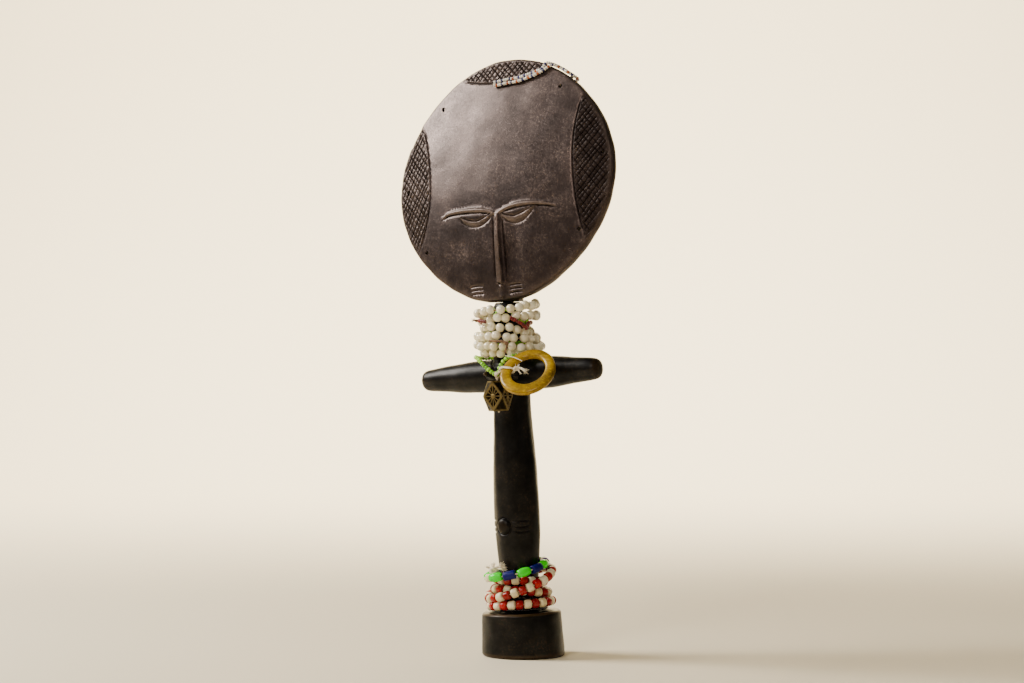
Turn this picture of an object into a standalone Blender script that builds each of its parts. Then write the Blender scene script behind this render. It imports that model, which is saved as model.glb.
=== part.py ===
"""Carved wooden fertility doll with beadwork.

A round base block carries a peg-shaped body with a long neck, two straight arms and a flat disc
head.  Bead strands are wound round the neck and round the foot of the body, and a seed-bead loop
on the shoulders carries a ring and a pierced brass bead.

Everything is drawn in the figure's own frame, in millimetres: +Z up the body, -Y to the front,
+X to the doll's left hand.  The whole figure leans a little to its right, so that frame is turned
about the middle of the base's underside and the underside is then cut level.
"""
import math

import bmesh
import bpy
from mathutils import Matrix, Vector

MM = 0.001
GAP = 0.3                      # room left between pieces that touch

# the stance
LEAN_DEG = 2.6                 # how far the body leans
LEAN_FACING_DEG = 33.0         # the lean lies square to this heading, measured from the front

# base block
BASE_BOTTOM_R = 26.2
BASE_TOP_R = 25.1
BASE_TOP_Z = 28.5
BASE_ROUND = 2.2
BASE_FOOT_BEVEL = 1.2
SOCKET_R = 8.0
SOCKET_FLOOR_Z = 11.7

# body: radius at each height, from the foot to the top of the neck
BODY_PROFILE = [(11.4, 28.8), (11.4, 45.0), (12.2, 54.0), (13.1, 61.5), (14.3, 78.0),
                (14.5, 88.0), (14.3, 103.0), (13.8, 120.0), (12.7, 138.0), (11.9, 153.0),
                (11.7, 161.0), (12.3, 170.0), (12.5, 178.0), (12.0, 184.0), (10.3, 187.4),
                (10.0, 190.0), (9.9, 205.0), (9.0, 223.2)]
FOOT_TENON_BOTTOM_Z = 12.2
NAVEL_Z = 82.7
NAVEL_TURN_DEG = 6.0           # to the doll's right of the front
NAVEL_R = 4.6
NAVEL_PROUD = 1.8
BREAST_X = 8.4
BREAST_Z = 178.8
BREAST_R = 4.5
BREAST_TIP_Y = -20.4

# arms
ARM_Z = 177.5
ARM_ROLL_DEG = 1.7             # the arms' line rises to the doll's left
ARM_REACH = 66.0
ARM_ROOT_R = 10.2
ARM_TIP_R = 6.4
ARM_TENON_R = 5.4
ARM_TENON_INNER_X = 1.6

# neck dowel
DOWEL_R = 3.6
DOWEL_Y = 0.8
DOWEL_BOTTOM_Z = 203.0
DOWEL_TOP_Z = 243.0

# head disc, in its own frame: u to the doll's left, v up, w to the back
HEAD_CENTRE = (-3.6, 7.2, 297.8)
HEAD_PITCH_DEG = 10.8          # the top leans back
HEAD_ROLL_DEG = 3.8
HEAD_R = 78.6
HEAD_CHIN_DRAW = 3.7           # how far the outline sits above the frame's centre
HEAD_CROWN = 8.6               # how far the middle of the face stands before its edge
HEAD_RIM_W = 3.2               # the thickest line of the edge
HEAD_BACK_W = 6.2
HEAD_BACK_CROWN = 0.8
HEAD_UNDERSIDE_Z = BODY_PROFILE[-1][1] + GAP
BOSS = [(HEAD_UNDERSIDE_Z - 2.0, 0.8, 8.6), (232.0, 2.2, 8.6), (246.0, 4.2, 7.6),
        (264.0, 6.5, 4.0)]     # height, set-back and radius of the swelling behind the chin
NOSE = [(-19.0, 1.6, 0.6), (-26.0, 2.0, 2.2), (-44.0, 2.5, 3.1), (-61.0, 3.0, 3.2),
        (-64.0, 2.2, 0.8)]     # v, half width and height
BROW = [(1.5, -19.0), (6.5, -16.2), (13.0, -14.2), (21.0, -13.8), (29.0, -14.6), (36.5, -17.0)]
BROW_R = 1.5
HEAD_HOLES = [(-72.6, 4.8), (-45.8, 56.4), (-5.5, 66.4), (43.5, 58.1), (74.1, 10.8),
              (57.1, -36.3), (-57.7, -37.2)]
HEAD_HOLE_R = 1.25

# beads
PEARL_R = 2.75
PONY_R = 2.8
LONG_R = 2.9
SEED_R = 1.1
DARK_SEED_R = 1.3
PEARL_PITCH = 5.5
PONY_PITCH = 5.0
LONG_PITCH = 8.6

# pendants
RING_CENTRE = (29.4, -25.6, 178.9)
RING_NORMAL = (0.16, -0.725, 0.67)
RING_MID_R = 14.5
RING_BAND_HALF = 3.5
RING_HALF_THICK = 2.1
APEX = (4.8, -23.1, 178.1)     # lowest point of the pendant strand
BEAD_HALF_WIDTH = 7.2
BEAD_HALF_HEIGHT = 9.5
BEAD_CENTRE_Z = 165.0
BEAD_TURN_DEG = 6.0
BEAD_BORE_R = 1.1
THREAD_R = 0.5

LEAN_AXIS = Vector((math.sin(math.radians(LEAN_FACING_DEG)),
                    -math.cos(math.radians(LEAN_FACING_DEG)), 0.0))
FIGURE = Matrix.Rotation(math.radians(LEAN_DEG), 4, LEAN_AXIS)
HEAD = (Matrix.Translation(Vector(HEAD_CENTRE))
        @ Matrix.Rotation(math.radians(-HEAD_PITCH_DEG), 4, "X")
        @ Matrix.Rotation(math.radians(-HEAD_ROLL_DEG), 4, "Y"))


# ---------------------------------------------------------------- scene helpers

def clear_scene():
    for old in list(bpy.data.objects):
        bpy.data.objects.remove(old)


def finish(name, colour, roughness, metallic=0.0):
    """A plain material in linear colour."""
    mat = bpy.data.materials.get(name) or bpy.data.materials.new(name)
    mat.use_nodes = True
    shader = mat.node_tree.nodes["Principled BSDF"]
    shader.inputs["Base Color"].default_value = (*colour, 1.0)
    shader.inputs["Roughness"].default_value = roughness
    shader.inputs["Metallic"].default_value = metallic
    return mat


def place(bm, name, mat, figure):
    """Turn a mesh drawn in millimetres into an object that stands in the figure's frame."""
    bmesh.ops.recalc_face_normals(bm, faces=bm.faces)
    bmesh.ops.scale(bm, vec=(MM, MM, MM), verts=bm.verts)
    mesh = bpy.data.meshes.new(name)
    bm.to_mesh(mesh)
    bm.free()
    mesh.shade_smooth()
    mesh.set_sharp_from_angle(angle=math.radians(40))
    obj = bpy.data.objects.new(name, mesh)
    bpy.context.collection.objects.link(obj)
    obj.parent = figure
    if mat:
        mesh.materials.append(mat)
    return obj


def combine(obj, other, operation):
    """Join or cut with a helper shape, which itself stays out of the model."""
    other.hide_render = True
    other.display_type = "WIRE"
    mod = obj.modifiers.new(other.name, "BOOLEAN")
    mod.operation = operation
    mod.solver = "EXACT"
    mod.object = other


# ---------------------------------------------------------------- shape helpers

def loft(rings, closed=False):
    """A skin over rings of points that all have the same count, capped unless it closes."""
    bm = bmesh.new()
    rows = [[bm.verts.new(p) for p in ring] for ring in rings]
    sides = len(rows[0])
    pairs = list(zip(rows, rows[1:])) + ([(rows[-1], rows[0])] if closed else [])
    for low, high in pairs:
        for i in range(sides):
            j = (i + 1) % sides
            bm.faces.new((low[i], low[j], high[j], high[i]))
    if not closed:
        bm.faces.new(rows[0][::-1])
        bm.faces.new(rows[-1])
    return bm


def circle(centre, across, up, radius, sides):
    return [centre + radius * (across * math.cos(a) + up * math.sin(a))
            for a in (2 * math.pi * i / sides for i in range(sides))]


def turned(profile, sides, grow=0.0, place_at=Matrix.Identity(4)):
    """A turned solid: profile lists (radius, height) from the bottom up."""
    x, y = Vector((1, 0, 0)), Vector((0, 1, 0))
    rings = [circle(Vector((0, 0, z)), x, y, r + grow, sides) for r, z in profile]
    bm = loft(rings)
    bmesh.ops.transform(bm, matrix=place_at, verts=bm.verts)
    return bm


def rod(start, end, radius, sides, end_radius=None):
    start, end = Vector(start), Vector(end)
    axis = (end - start).normalized()
    across = axis.orthogonal().normalized()
    up = axis.cross(across)
    last = radius if end_radius is None else end_radius
    return loft([circle(start, across, up, radius, sides), circle(end, across, up, last, sides)])


def smooth_route(points, steps, closed):
    """Points on a Catmull-Rom curve through the given points."""
    pts = [Vector(p) for p in points]
    count = len(pts)
    out = []
    for i in range(count if closed else count - 1):
        if closed:
            a, b, c, d = (pts[(i + k) % count] for k in (-1, 0, 1, 2))
        else:
            a, b, c, d = (pts[min(max(i + k, 0), count - 1)] for k in (-1, 0, 1, 2))
        for s in range(steps):
            t = s / steps
            out.append(0.5 * (2 * b + (c - a) * t + (2 * a - 5 * b + 4 * c - d) * t ** 2
                              + (3 * b - a - 3 * c + d) * t ** 3))
    if not closed:
        out.append(pts[-1])
    return out


def tube(route, radii, sides, closed):
    """A round tube along a route; radii holds one radius for each point."""
    count = len(route)
    rings, across = [], None
    for i, p in enumerate(route):
        if closed:
            ahead = (route[(i + 1) % count] - route[i - 1]).normalized()
            across = Vector((p.x, p.y, 0))      # loops go round the body, so this never fails
        else:
            ahead = (route[min(i + 1, count - 1)] - route[max(i - 1, 0)]).normalized()
            across = ahead.orthogonal() if across is None else across
        across = (across - ahead * across.dot(ahead)).normalized()
        rings.append(circle(p, across, ahead.cross(across), radii[i], sides))
    return loft(rings, closed)


# ---------------------------------------------------------------- wood

def base_block(wood, figure):
    """A squat turned block, cut level underneath, with a blind socket for the body's tenon."""
    slope = (BASE_BOTTOM_R - BASE_TOP_R) / BASE_TOP_Z
    below = 3.0
    corner = [(BASE_TOP_R - BASE_ROUND * (1 - math.cos(a)),
               BASE_TOP_Z - BASE_ROUND * (1 - math.sin(a)))
              for a in (math.radians(d) for d in (0, 30, 60, 90))]
    bm = turned([(BASE_BOTTOM_R + slope * below, -below)] + corner, 40)
    level = FIGURE.to_3x3().inverted() @ Vector((0, 0, 1))
    cut = bmesh.ops.bisect_plane(bm, geom=bm.verts[:] + bm.edges[:] + bm.faces[:],
                                 plane_co=(0, 0, 0), plane_no=level, clear_inner=True)
    rim = [e for e in cut["geom_cut"] if isinstance(e, bmesh.types.BMEdge)]
    bmesh.ops.contextual_create(bm, geom=rim)
    rim = [e for e in bm.edges if all(abs(v.co.dot(level)) < 1e-4 for v in e.verts)]
    bmesh.ops.bevel(bm, geom=rim, offset=BASE_FOOT_BEVEL, segments=2, affect="EDGES",
                    profile=0.5)
    block = place(bm, "base_block", wood, figure)
    socket = place(rod((0, 0, SOCKET_FLOOR_Z), (0, 0, BASE_TOP_Z + 5), SOCKET_R, 20),
                   "socket_cutter", None, figure)
    combine(block, socket, "DIFFERENCE")
    return block


def breast(side, grow=0.0):
    """A small pointed breast with a nipple."""
    x, z = Vector((1, 0, 0)), Vector((0, 0, 1))
    stations = [(-6.0 + grow, BREAST_R), (-13.5, BREAST_R), (-16.5, BREAST_R * 0.8),
                (-18.6, BREAST_R * 0.48), (-19.2, BREAST_R * 0.3), (BREAST_TIP_Y, BREAST_R * 0.22)]
    return loft([circle(Vector((side * BREAST_X, y, BREAST_Z)), x, z, r + grow, 12)
                 for y, r in stations])


def arm_frame(side=1):
    """The arms' line: its local Z runs out along the arm on that side."""
    return (Matrix.Translation(Vector((0, 0, ARM_Z)))
            @ Matrix.Rotation(math.radians(side * 90 - ARM_ROLL_DEG), 4, "Y"))


def body(wood, figure):
    """Foot, belly, chest and neck, turned in one piece, with its tenon and its bores."""
    tenon_r = SOCKET_R - GAP
    profile = [(tenon_r - 0.6, FOOT_TENON_BOTTOM_Z), (tenon_r, FOOT_TENON_BOTTOM_Z + 0.8),
               (tenon_r, BODY_PROFILE[0][1])] + BODY_PROFILE
    torso = place(turned(profile, 28), "torso", wood, figure)
    for side in (-1, 1):
        combine(torso, place(breast(side), f"breast_{side}", None, figure), "UNION")
    turn = math.radians(NAVEL_TURN_DEG)
    out = Vector((-math.sin(turn), -math.cos(turn), 0))
    surface = 14.45
    start, mid, end = (out * (surface + d) + Vector((0, 0, NAVEL_Z)) for d in (-4.0, 0.6, 1.8))
    across = Vector((0, 0, 1)).cross(out)
    up = Vector((0, 0, 1))
    end = start + out * (4.0 + NAVEL_PROUD)
    navel = loft([circle(start, across, up, NAVEL_R, 14), circle(mid, across, up, NAVEL_R, 14),
                  circle(end, across, up, NAVEL_R * 0.5, 14)])
    combine(torso, place(navel, "navel", None, figure), "UNION")
    bore = rod((0, 0, -30), (0, 0, 30), ARM_TENON_R + GAP, 18)
    bmesh.ops.transform(bore, matrix=arm_frame(), verts=bore.verts)
    combine(torso, place(bore, "arm_bore_cutter", None, figure), "DIFFERENCE")
    dowel_bore = rod((0, DOWEL_Y, DOWEL_BOTTOM_Z - GAP), (0, DOWEL_Y, 240), DOWEL_R + GAP, 16)
    combine(torso, place(dowel_bore, "neck_bore_cutter", None, figure), "DIFFERENCE")
    return torso


def arm(side, wood, figure):
    """A tapering arm, scribed to the chest and breast, with a tenon for the body's cross bore."""
    reach = ARM_REACH
    barrel = [(ARM_ROOT_R, 4.0), (ARM_ROOT_R, 25.0), (ARM_ROOT_R * 0.9 + 0.1, 42.0),
              (ARM_TIP_R + 0.6, reach - 7.0), (ARM_TIP_R, reach - 3.0),
              (ARM_TIP_R * 0.8, reach - 0.9), (ARM_TIP_R * 0.45, reach)]
    where = arm_frame(side)
    name = "arm_left" if side > 0 else "arm_right"
    piece = place(turned(barrel, 20, place_at=where), name, wood, figure)
    seat = [(r, z) for r, z in BODY_PROFILE if 150 < z < 210]
    combine(piece, place(turned(seat, 28, grow=GAP), name + "_seat", None, figure), "DIFFERENCE")
    combine(piece, place(breast(side, GAP), name + "_breast_seat", None, figure), "DIFFERENCE")
    tenon = [(ARM_TENON_R, ARM_TENON_INNER_X), (ARM_TENON_R, 20.0)]
    combine(piece, place(turned(tenon, 18, place_at=where), name + "_tenon", None, figure),
            "UNION")
    return piece


def head_outline(angle):
    """Distance of the disc's edge from the head's centre; the angle is measured from the chin."""
    return (HEAD_R - HEAD_CHIN_DRAW * math.cos(angle) - 0.6 * math.cos(2 * angle)
            + 1.1 * math.cos(4 * angle))


def head_depth(u, v, back=False):
    """Depth w of the disc's front or back surface."""
    share = min(math.hypot(u, v) / head_outline(math.atan2(u, -v)), 1.0)
    if back:
        return HEAD_BACK_W + HEAD_BACK_CROWN * (1 - share ** 2)
    return -HEAD_CROWN * (1 - share ** 2)


def head_plate(wood, figure):
    """The disc head with its brow, nose, edge holes and the boss that meets the neck."""
    sides = 44
    front = [(f, -HEAD_CROWN * (1 - f * f)) for f in (0.06, 0.3, 0.55, 0.78, 0.93)]
    edge = [(0.985, 0.7), (1.0, HEAD_RIM_W), (0.985, HEAD_BACK_W - 0.7)]
    back = [(f, HEAD_BACK_W + HEAD_BACK_CROWN * (1 - f * f)) for f in (0.93, 0.5, 0.06)]
    rings = []
    for f, w in front + edge + back:
        ring = []
        for i in range(sides):
            angle = 2 * math.pi * i / sides
            reach = f * head_outline(angle)
            ring.append(Vector((reach * math.sin(angle), w, -reach * math.cos(angle))))
        rings.append(ring)
    bm = loft(rings)
    bmesh.ops.transform(bm, matrix=HEAD, verts=bm.verts)
    plate = place(bm, "head_plate", wood, figure)

    x, y = Vector((1, 0, 0)), Vector((0, 1, 0))
    boss = loft([circle(Vector((0, set_back, z)), x, y, r, 20) for z, set_back, r in BOSS])
    combine(plate, place(boss, "head_boss", None, figure), "UNION")

    nose_rings = []
    for v, half, high in NOSE:
        skin = head_depth(0, v)
        nose_rings.append([Vector((u, skin + w, v)) for u, w in
                           ((-half, 2.0), (-half, -0.3), (-half * 0.4, -high), (half * 0.4, -high),
                            (half, -0.3), (half, 2.0))])
    nose = loft(nose_rings)
    bmesh.ops.transform(nose, matrix=HEAD, verts=nose.verts)
    combine(plate, place(nose, "nose", None, figure), "UNION")

    for side in (-1, 1):
        route = [Vector((side * u, head_depth(u, v) - 0.1, v)) for u, v in BROW]
        radii = [BROW_R * k for k in (0.6, 1, 1, 1, 0.9, 0.5)]
        brow = tube(route, radii, 6, False)
        bmesh.ops.transform(brow, matrix=HEAD, verts=brow.verts)
        combine(plate, place(brow, f"brow_{side}", None, figure), "UNION")

    for i, (u, v) in enumerate(HEAD_HOLES):
        hole = rod((u, -12, v), (u, 14, v), HEAD_HOLE_R, 8)
        bmesh.ops.transform(hole, matrix=HEAD, verts=hole.verts)
        combine(plate, place(hole, f"edge_hole_{i}", None, figure), "DIFFERENCE")

    trim = rod((0, 0, HEAD_UNDERSIDE_Z - 30), (0, 0, HEAD_UNDERSIDE_Z), 60, 24)
    combine(plate, place(trim, "head_underside_cutter", None, figure), "DIFFERENCE")
    dowel_bore = rod((0, DOWEL_Y, 200), (0, DOWEL_Y, DOWEL_TOP_Z + GAP), DOWEL_R + GAP, 16)
    combine(plate, place(dowel_bore, "head_bore_cutter", None, figure), "DIFFERENCE")
    return plate


def neck_dowel(wood, figure):
    """The hidden dowel between body and head."""
    ends = [(DOWEL_R - 0.6, DOWEL_BOTTOM_Z), (DOWEL_R, DOWEL_BOTTOM_Z + 1.0),
            (DOWEL_R, DOWEL_TOP_Z - 1.0), (DOWEL_R - 0.6, DOWEL_TOP_Z)]
    bm = turned(ends, 16, place_at=Matrix.Translation(Vector((0, DOWEL_Y, 0))))
    return place(bm, "neck_dowel", wood, figure)


# ---------------------------------------------------------------- strands wound round the body

class Winding:
    """One turn of a strand round the body.

    Its height and radius follow a ring that is tilted (rise), waved (dip), set off centre (shift)
    and drawn oval.  Each comes with the heading, in degrees from +X, where it is greatest.
    """

    def __init__(self, height, radius, rise=(0, 0), dip=(0, 0), shift=(0, 0), oval=(0, 0)):
        self.height, self.radius = height, radius
        self.rise, self.dip, self.shift, self.oval = rise, dip, shift, oval

    def point(self, heading):
        def wave(term, times):
            return term[0] * math.cos(times * (heading - math.radians(term[1])))
        r = self.radius + wave(self.shift, 1) + wave(self.oval, 2)
        z = self.height + wave(self.rise, 1) + wave(self.dip, 2)
        return Vector((r * math.cos(heading), r * math.sin(heading), z))

    def length(self):
        pts = [self.point(2 * math.pi * i / 90) for i in range(90)]
        return sum((pts[i] - pts[i - 1]).length for i in range(90))


def beaded_winding(name, winding, bead_r, pitch, profile, mat, figure, sides=6):
    """A closed string of beads: profile lists (place within a bead, share of its radius)."""
    count = round(winding.length() / pitch)
    route, radii = [], []
    for i in range(count):
        for along, share in profile:
            route.append(winding.point(2 * math.pi * (i + along) / count))
            radii.append(bead_r * share)
    return place(tube(route, radii, sides, True), name, mat, figure)


def plain_winding(name, winding, radius, mat, figure, steps=28, sides=6):
    route = [winding.point(2 * math.pi * i / steps) for i in range(steps)]
    return place(tube(route, [radius] * steps, sides, True), name, mat, figure)


ROUND_BEAD = ((0.0, 0.5), (0.5, 1.0))
DRUM_BEAD = ((0.0, 0.72), (0.5, 1.0))
LONG_BEAD = ((0.0, 0.7), (0.25, 1.0), (0.75, 1.0))

NECK_PEARLS = {
    "pearl_strand_a": Winding(218.7, 18.7, rise=(1.1, -5), dip=(0.5, 84), shift=(0.5, 200)),
    "pearl_strand_b": Winding(213.0, 16.8, rise=(0.6, -60), dip=(0.4, 112), shift=(1.0, 25),
                              oval=(0.5, 34)),
    "pearl_strand_c": Winding(206.3, 15.6, rise=(1.3, 203), dip=(1.2, 97), shift=(0.8, 203),
                              oval=(1.3, 99)),
    "pearl_strand_d": Winding(201.3, 18.6, rise=(1.5, 195), dip=(0.7, 90), shift=(1.1, 185),
                              oval=(0.4, 90)),
    "pearl_strand_e": Winding(195.6, 19.5, rise=(1.1, 198), dip=(0.5, 84)),
    "pearl_strand_f": Winding(191.8, 15.0, shift=(1.0, 204), oval=(0.3, 81)),
}
NECK_GREENS = {
    "green_strand_upper": Winding(209.3, 12.2, rise=(6.2, -13), dip=(6.7, 100)),
    "green_strand_lower": Winding(195.9, 13.5, rise=(1.2, 5), dip=(0.9, 119), shift=(0.8, 30),
                                  oval=(0.7, 98)),
}
NECK_RED = Winding(209.5, 20.0, rise=(3.6, 214), dip=(2.5, 92), oval=(0.6, 71))
RED_END = 208                                # heading of its tied end

WAIST_PONIES = {
    "red_white_strand_a": Winding(32.3, 19.4),
    "red_white_strand_b": Winding(45.3, 20.5, rise=(8.0, 45), dip=(0.7, 77), oval=(0.3, -45)),
    "red_white_strand_c": Winding(41.5, 15.7, rise=(1.8, 223), dip=(0.3, 112), shift=(0.4, 45),
                                  oval=(1.1, 40)),
    "red_white_strand_d": Winding(47.7, 14.8, rise=(1.6, 235), dip=(0.4, -45)),
}
WAIST_LONG = Winding(54.4, 19.0, rise=(5.2, 12), dip=(2.2, 89), shift=(2.4, 187), oval=(0.7, 98))
WAIST_DARK = {
    "black_strand_a": Winding(30.2, 15.5, shift=(0.4, 14), oval=(0.3, -36)),
    "black_strand_b": Winding(37.7, 13.1, rise=(1.7, 216), dip=(0.5, 56)),
}


def neck_strands(mats, figure):
    for name, winding in NECK_PEARLS.items():
        beaded_winding(name, winding, PEARL_R, PEARL_PITCH, ROUND_BEAD, mats["pearl"], figure)
    for name, winding in NECK_GREENS.items():
        plain_winding(name, winding, SEED_R, mats["green_seed"], figure)
    # the coral strand is broken at the front: it starts under a pearl, slopes down to the left
    # hand, and goes on round the back to its tied end
    start = [(-48, 20.6, 212.2), (-38, 20.5, 210.4), (-28, 20.3, 207.8), (-18, 20.1, 205.7),
             (-6, 20.0, 204.6)]
    points = [Vector((r * math.cos(math.radians(a)), r * math.sin(math.radians(a)), z))
              for a, r, z in start]
    points += [NECK_RED.point(math.radians(a)) for a in range(8, RED_END + 1, 10)]
    place(tube(points, [SEED_R] * len(points), 6, False), "red_strand", mats["red_seed"], figure)
    # a brown cord laid in the valley between the two lowest full rows, with its knot
    route = [(268, 21.9, 199.4), (276, 22.0, 199.3), (284, 22.0, 199.0), (290, 22.1, 198.9),
             (295, 22.3, 198.7), (300, 22.3, 198.6), (305, 22.1, 198.4), (312, 22.0, 198.2)]
    points = [Vector((r * math.cos(math.radians(a)), r * math.sin(math.radians(a)), z))
              for a, r, z in route]
    radii = [0.6, 0.7, 0.7, 0.9, 1.1, 1.1, 0.7, 0.5]
    place(tube(points, radii, 6, False), "brown_cord", mats["cord"], figure)


def waist_strands(mats, figure):
    for name, winding in WAIST_PONIES.items():
        beaded_winding(name, winding, PONY_R, PONY_PITCH, DRUM_BEAD, mats["pony"], figure)
    beaded_winding("long_bead_strand", WAIST_LONG, LONG_R, LONG_PITCH, LONG_BEAD,
                   mats["long_bead"], figure)
    for name, winding in WAIST_DARK.items():
        plain_winding(name, winding, DARK_SEED_R, mats["dark_seed"], figure)
    knot = [Vector(p) for p in ((-7.6, -18.6, 57.9), (-6.6, -18.0, 59.2), (-5.0, -17.4, 60.4),
                                (-2.6, -16.8, 61.0), (0.4, -16.2, 61.4))]
    place(tube(knot, [0.7, 1.7, 1.9, 1.2, 0.8], 6, False), "tassel_knot", mats["thread"], figure)


# ---------------------------------------------------------------- pendants

PENDANT_LOOP = [APEX, (7.0, -22.4, 183.4), (10.2, -19.4, 188.2), (15.8, -14.6, 189.8),
                (20.2, -7.6, 189.8), (21.6, 0.5, 189.8), (19.4, 9.5, 189.2), (12.0, 17.0, 187.0),
                (0.0, 19.6, 185.6), (-12.0, 17.0, 186.4), (-19.4, 9.5, 188.2), (-21.6, 0.5, 188.7),
                (-19.8, -8.6, 189.2), (-15.0, -15.6, 189.2), (-9.4, -20.0, 187.0),
                (-2.6, -22.9, 182.4)]


def ring_frame():
    """The ring's frame: Z along its normal, X level, from its left edge to its right."""
    normal = Vector(RING_NORMAL).normalized()
    across = Vector((0, 0, 1)).cross(normal).normalized()
    up = normal.cross(across)
    frame = Matrix((across, up, normal)).transposed().to_4x4()
    return Matrix.Translation(Vector(RING_CENTRE)) @ frame


def pendant_ring(mat, figure):
    """A flat ring with softly rounded edges."""
    rings = []
    for i in range(32):
        a = 2 * math.pi * i / 32
        out = Vector((math.cos(a), math.sin(a), 0))
        section = []
        for k in range(10):
            b = 2 * math.pi * k / 10
            c, s = math.cos(b), math.sin(b)
            wide = math.copysign(abs(c) ** 0.7, c) * RING_BAND_HALF
            thick = math.copysign(abs(s) ** 0.7, s) * RING_HALF_THICK
            section.append(out * (RING_MID_R + wide) + Vector((0, 0, thick)))
        rings.append(section)
    bm = loft(rings, closed=True)
    bmesh.ops.transform(bm, matrix=ring_frame(), verts=bm.verts)
    return place(bm, "pendant_ring", mat, figure)


def tie(mat, figure):
    """The thread that holds the ring to the strand, and its knot inside the ring."""
    frame = ring_frame()
    centre = frame.translation
    normal = Vector(RING_NORMAL).normalized()
    inward = centre - Vector(APEX)
    inward = (inward - normal * inward.dot(normal)).normalized()
    inner = RING_MID_R - RING_BAND_HALF - GAP - THREAD_R
    outer = RING_MID_R + RING_BAND_HALF + GAP + THREAD_R + 0.6
    half_long = (outer - inner) / 2
    half_deep = RING_HALF_THICK + GAP + THREAD_R + 0.3
    steps = 24
    rings = []
    across = inward.cross(normal).normalized()
    route = []
    for i in range(steps):
        a = 2 * math.pi * i / steps
        c, s = math.cos(a), math.sin(a)
        along = math.copysign(abs(c) ** 0.45, c) * half_long
        deep = math.copysign(abs(s) ** 0.45, s) * half_deep
        middle = centre - inward * (inner + half_long)
        route.append(middle + inward * along + normal * deep)
    for i, p in enumerate(route):
        ahead = (route[(i + 1) % steps] - route[i - 1]).normalized()
        rings.append(circle(p, across, ahead.cross(across).normalized(), THREAD_R, 6))
    place(loft(rings, closed=True), "tie_thread", mat, figure)
    start = centre - inward * (inner - THREAD_R - 2.2)
    knot = [start + inward * d + Vector((0, 0, rise))
            for d, rise in ((0.0, 0.0), (1.4, 0.6), (3.2, 0.9), (5.2, 0.2), (6.8, -0.6))]
    place(tube(knot, [1.0, 1.5, 1.3, 1.1, 0.6], 6, False), "tie_knot", mat, figure)


def brass_bead(mat, figure):
    """A faceted bead with square faces on end, threaded from top to bottom."""
    bm = bmesh.new()
    for a in (-1, 1):
        for b in (-1, 1):
            bm.verts.new((a * BEAD_HALF_WIDTH, b * BEAD_HALF_WIDTH, 0))
            bm.verts.new((a * BEAD_HALF_WIDTH, 0, b * BEAD_HALF_HEIGHT))
            bm.verts.new((0, a * BEAD_HALF_WIDTH, b * BEAD_HALF_HEIGHT))
    bmesh.ops.convex_hull(bm, input=bm.verts)
    bmesh.ops.dissolve_limit(bm, angle_limit=0.02, verts=bm.verts, edges=bm.edges)
    where = (Matrix.Translation(Vector((APEX[0], APEX[1], BEAD_CENTRE_Z)))
             @ Matrix.Rotation(math.radians(BEAD_TURN_DEG), 4, "Z"))
    bmesh.ops.transform(bm, matrix=where, verts=bm.verts)
    bead = place(bm, "brass_bead", mat, figure)
    bore = rod((APEX[0], APEX[1], 140), (APEX[0], APEX[1], 190), BEAD_BORE_R, 10)
    combine(bead, place(bore, "bead_bore_cutter", None, figure), "DIFFERENCE")
    return bead


def hanging_threads(mat, figure):
    """The thread loop round the strand's lowest point and the thread down through the bead."""
    apex = Vector(APEX)
    ahead = (Vector(PENDANT_LOOP[1]) - Vector(PENDANT_LOOP[-1])).normalized()
    across = Vector((0, 0, 1)) - ahead * ahead.z
    across.normalize()
    out = ahead.cross(across).normalized()
    loop_r = SEED_R + GAP + THREAD_R + 1.2
    rings = []
    for i in range(16):
        a = 2 * math.pi * i / 16
        radial = across * math.cos(a) + out * math.sin(a)
        rings.append(circle(apex + radial * loop_r, radial, ahead, THREAD_R, 6))
    place(loft(rings, closed=True), "hang_loop", mat, figure)
    top = apex.z - loop_r - THREAD_R - GAP
    bottom = BEAD_CENTRE_Z - BEAD_HALF_HEIGHT
    knot_r = BEAD_BORE_R + 0.7
    stations = [(top, THREAD_R), (bottom - GAP, THREAD_R), (bottom - GAP, knot_r),
                (bottom - GAP - 1.6, knot_r), (bottom - GAP - 2.2, knot_r * 0.4)]
    x, y = Vector((1, 0, 0)), Vector((0, 1, 0))
    thread = loft([circle(Vector((apex.x, apex.y, z)), x, y, r, 8) for z, r in stations])
    place(thread, "bead_thread", mat, figure)


def pendants(mats, figure):
    route = smooth_route(PENDANT_LOOP, 3, True)
    place(tube(route, [SEED_R] * len(route), 6, True), "pendant_strand", mats["green_seed"],
          figure)
    pendant_ring(mats["ring"], figure)
    tie(mats["thread"], figure)
    brass_bead(mats["brass"], figure)
    hanging_threads(mats["thread"], figure)


# ---------------------------------------------------------------- strands on the head

HEAD_STRAND_FRONT = [(-4.0, 67.6), (5.0, 68.0), (14.0, 68.0), (23.0, 69.7), (30.0, 71.6)]
HEAD_STRAND_RIM = (33.0, 38.0, 42.0)         # degrees from the crown, towards the figure's left
HEAD_STRAND_BACK = [(46.5, 61.0), (36.0, 66.0), (23.0, 68.0), (10.0, 68.0), (-4.0, 67.6)]
HEAD_STRAND_SPREAD = 2.7


def rim_point(bearing, outward, w):
    """A point beside the rim, so far out from it and so deep; the bearing is from the crown."""
    a = math.radians(bearing)
    reach = head_outline(math.pi - a) + outward
    return Vector((math.sin(a) * reach, w, math.cos(a) * reach))


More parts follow.
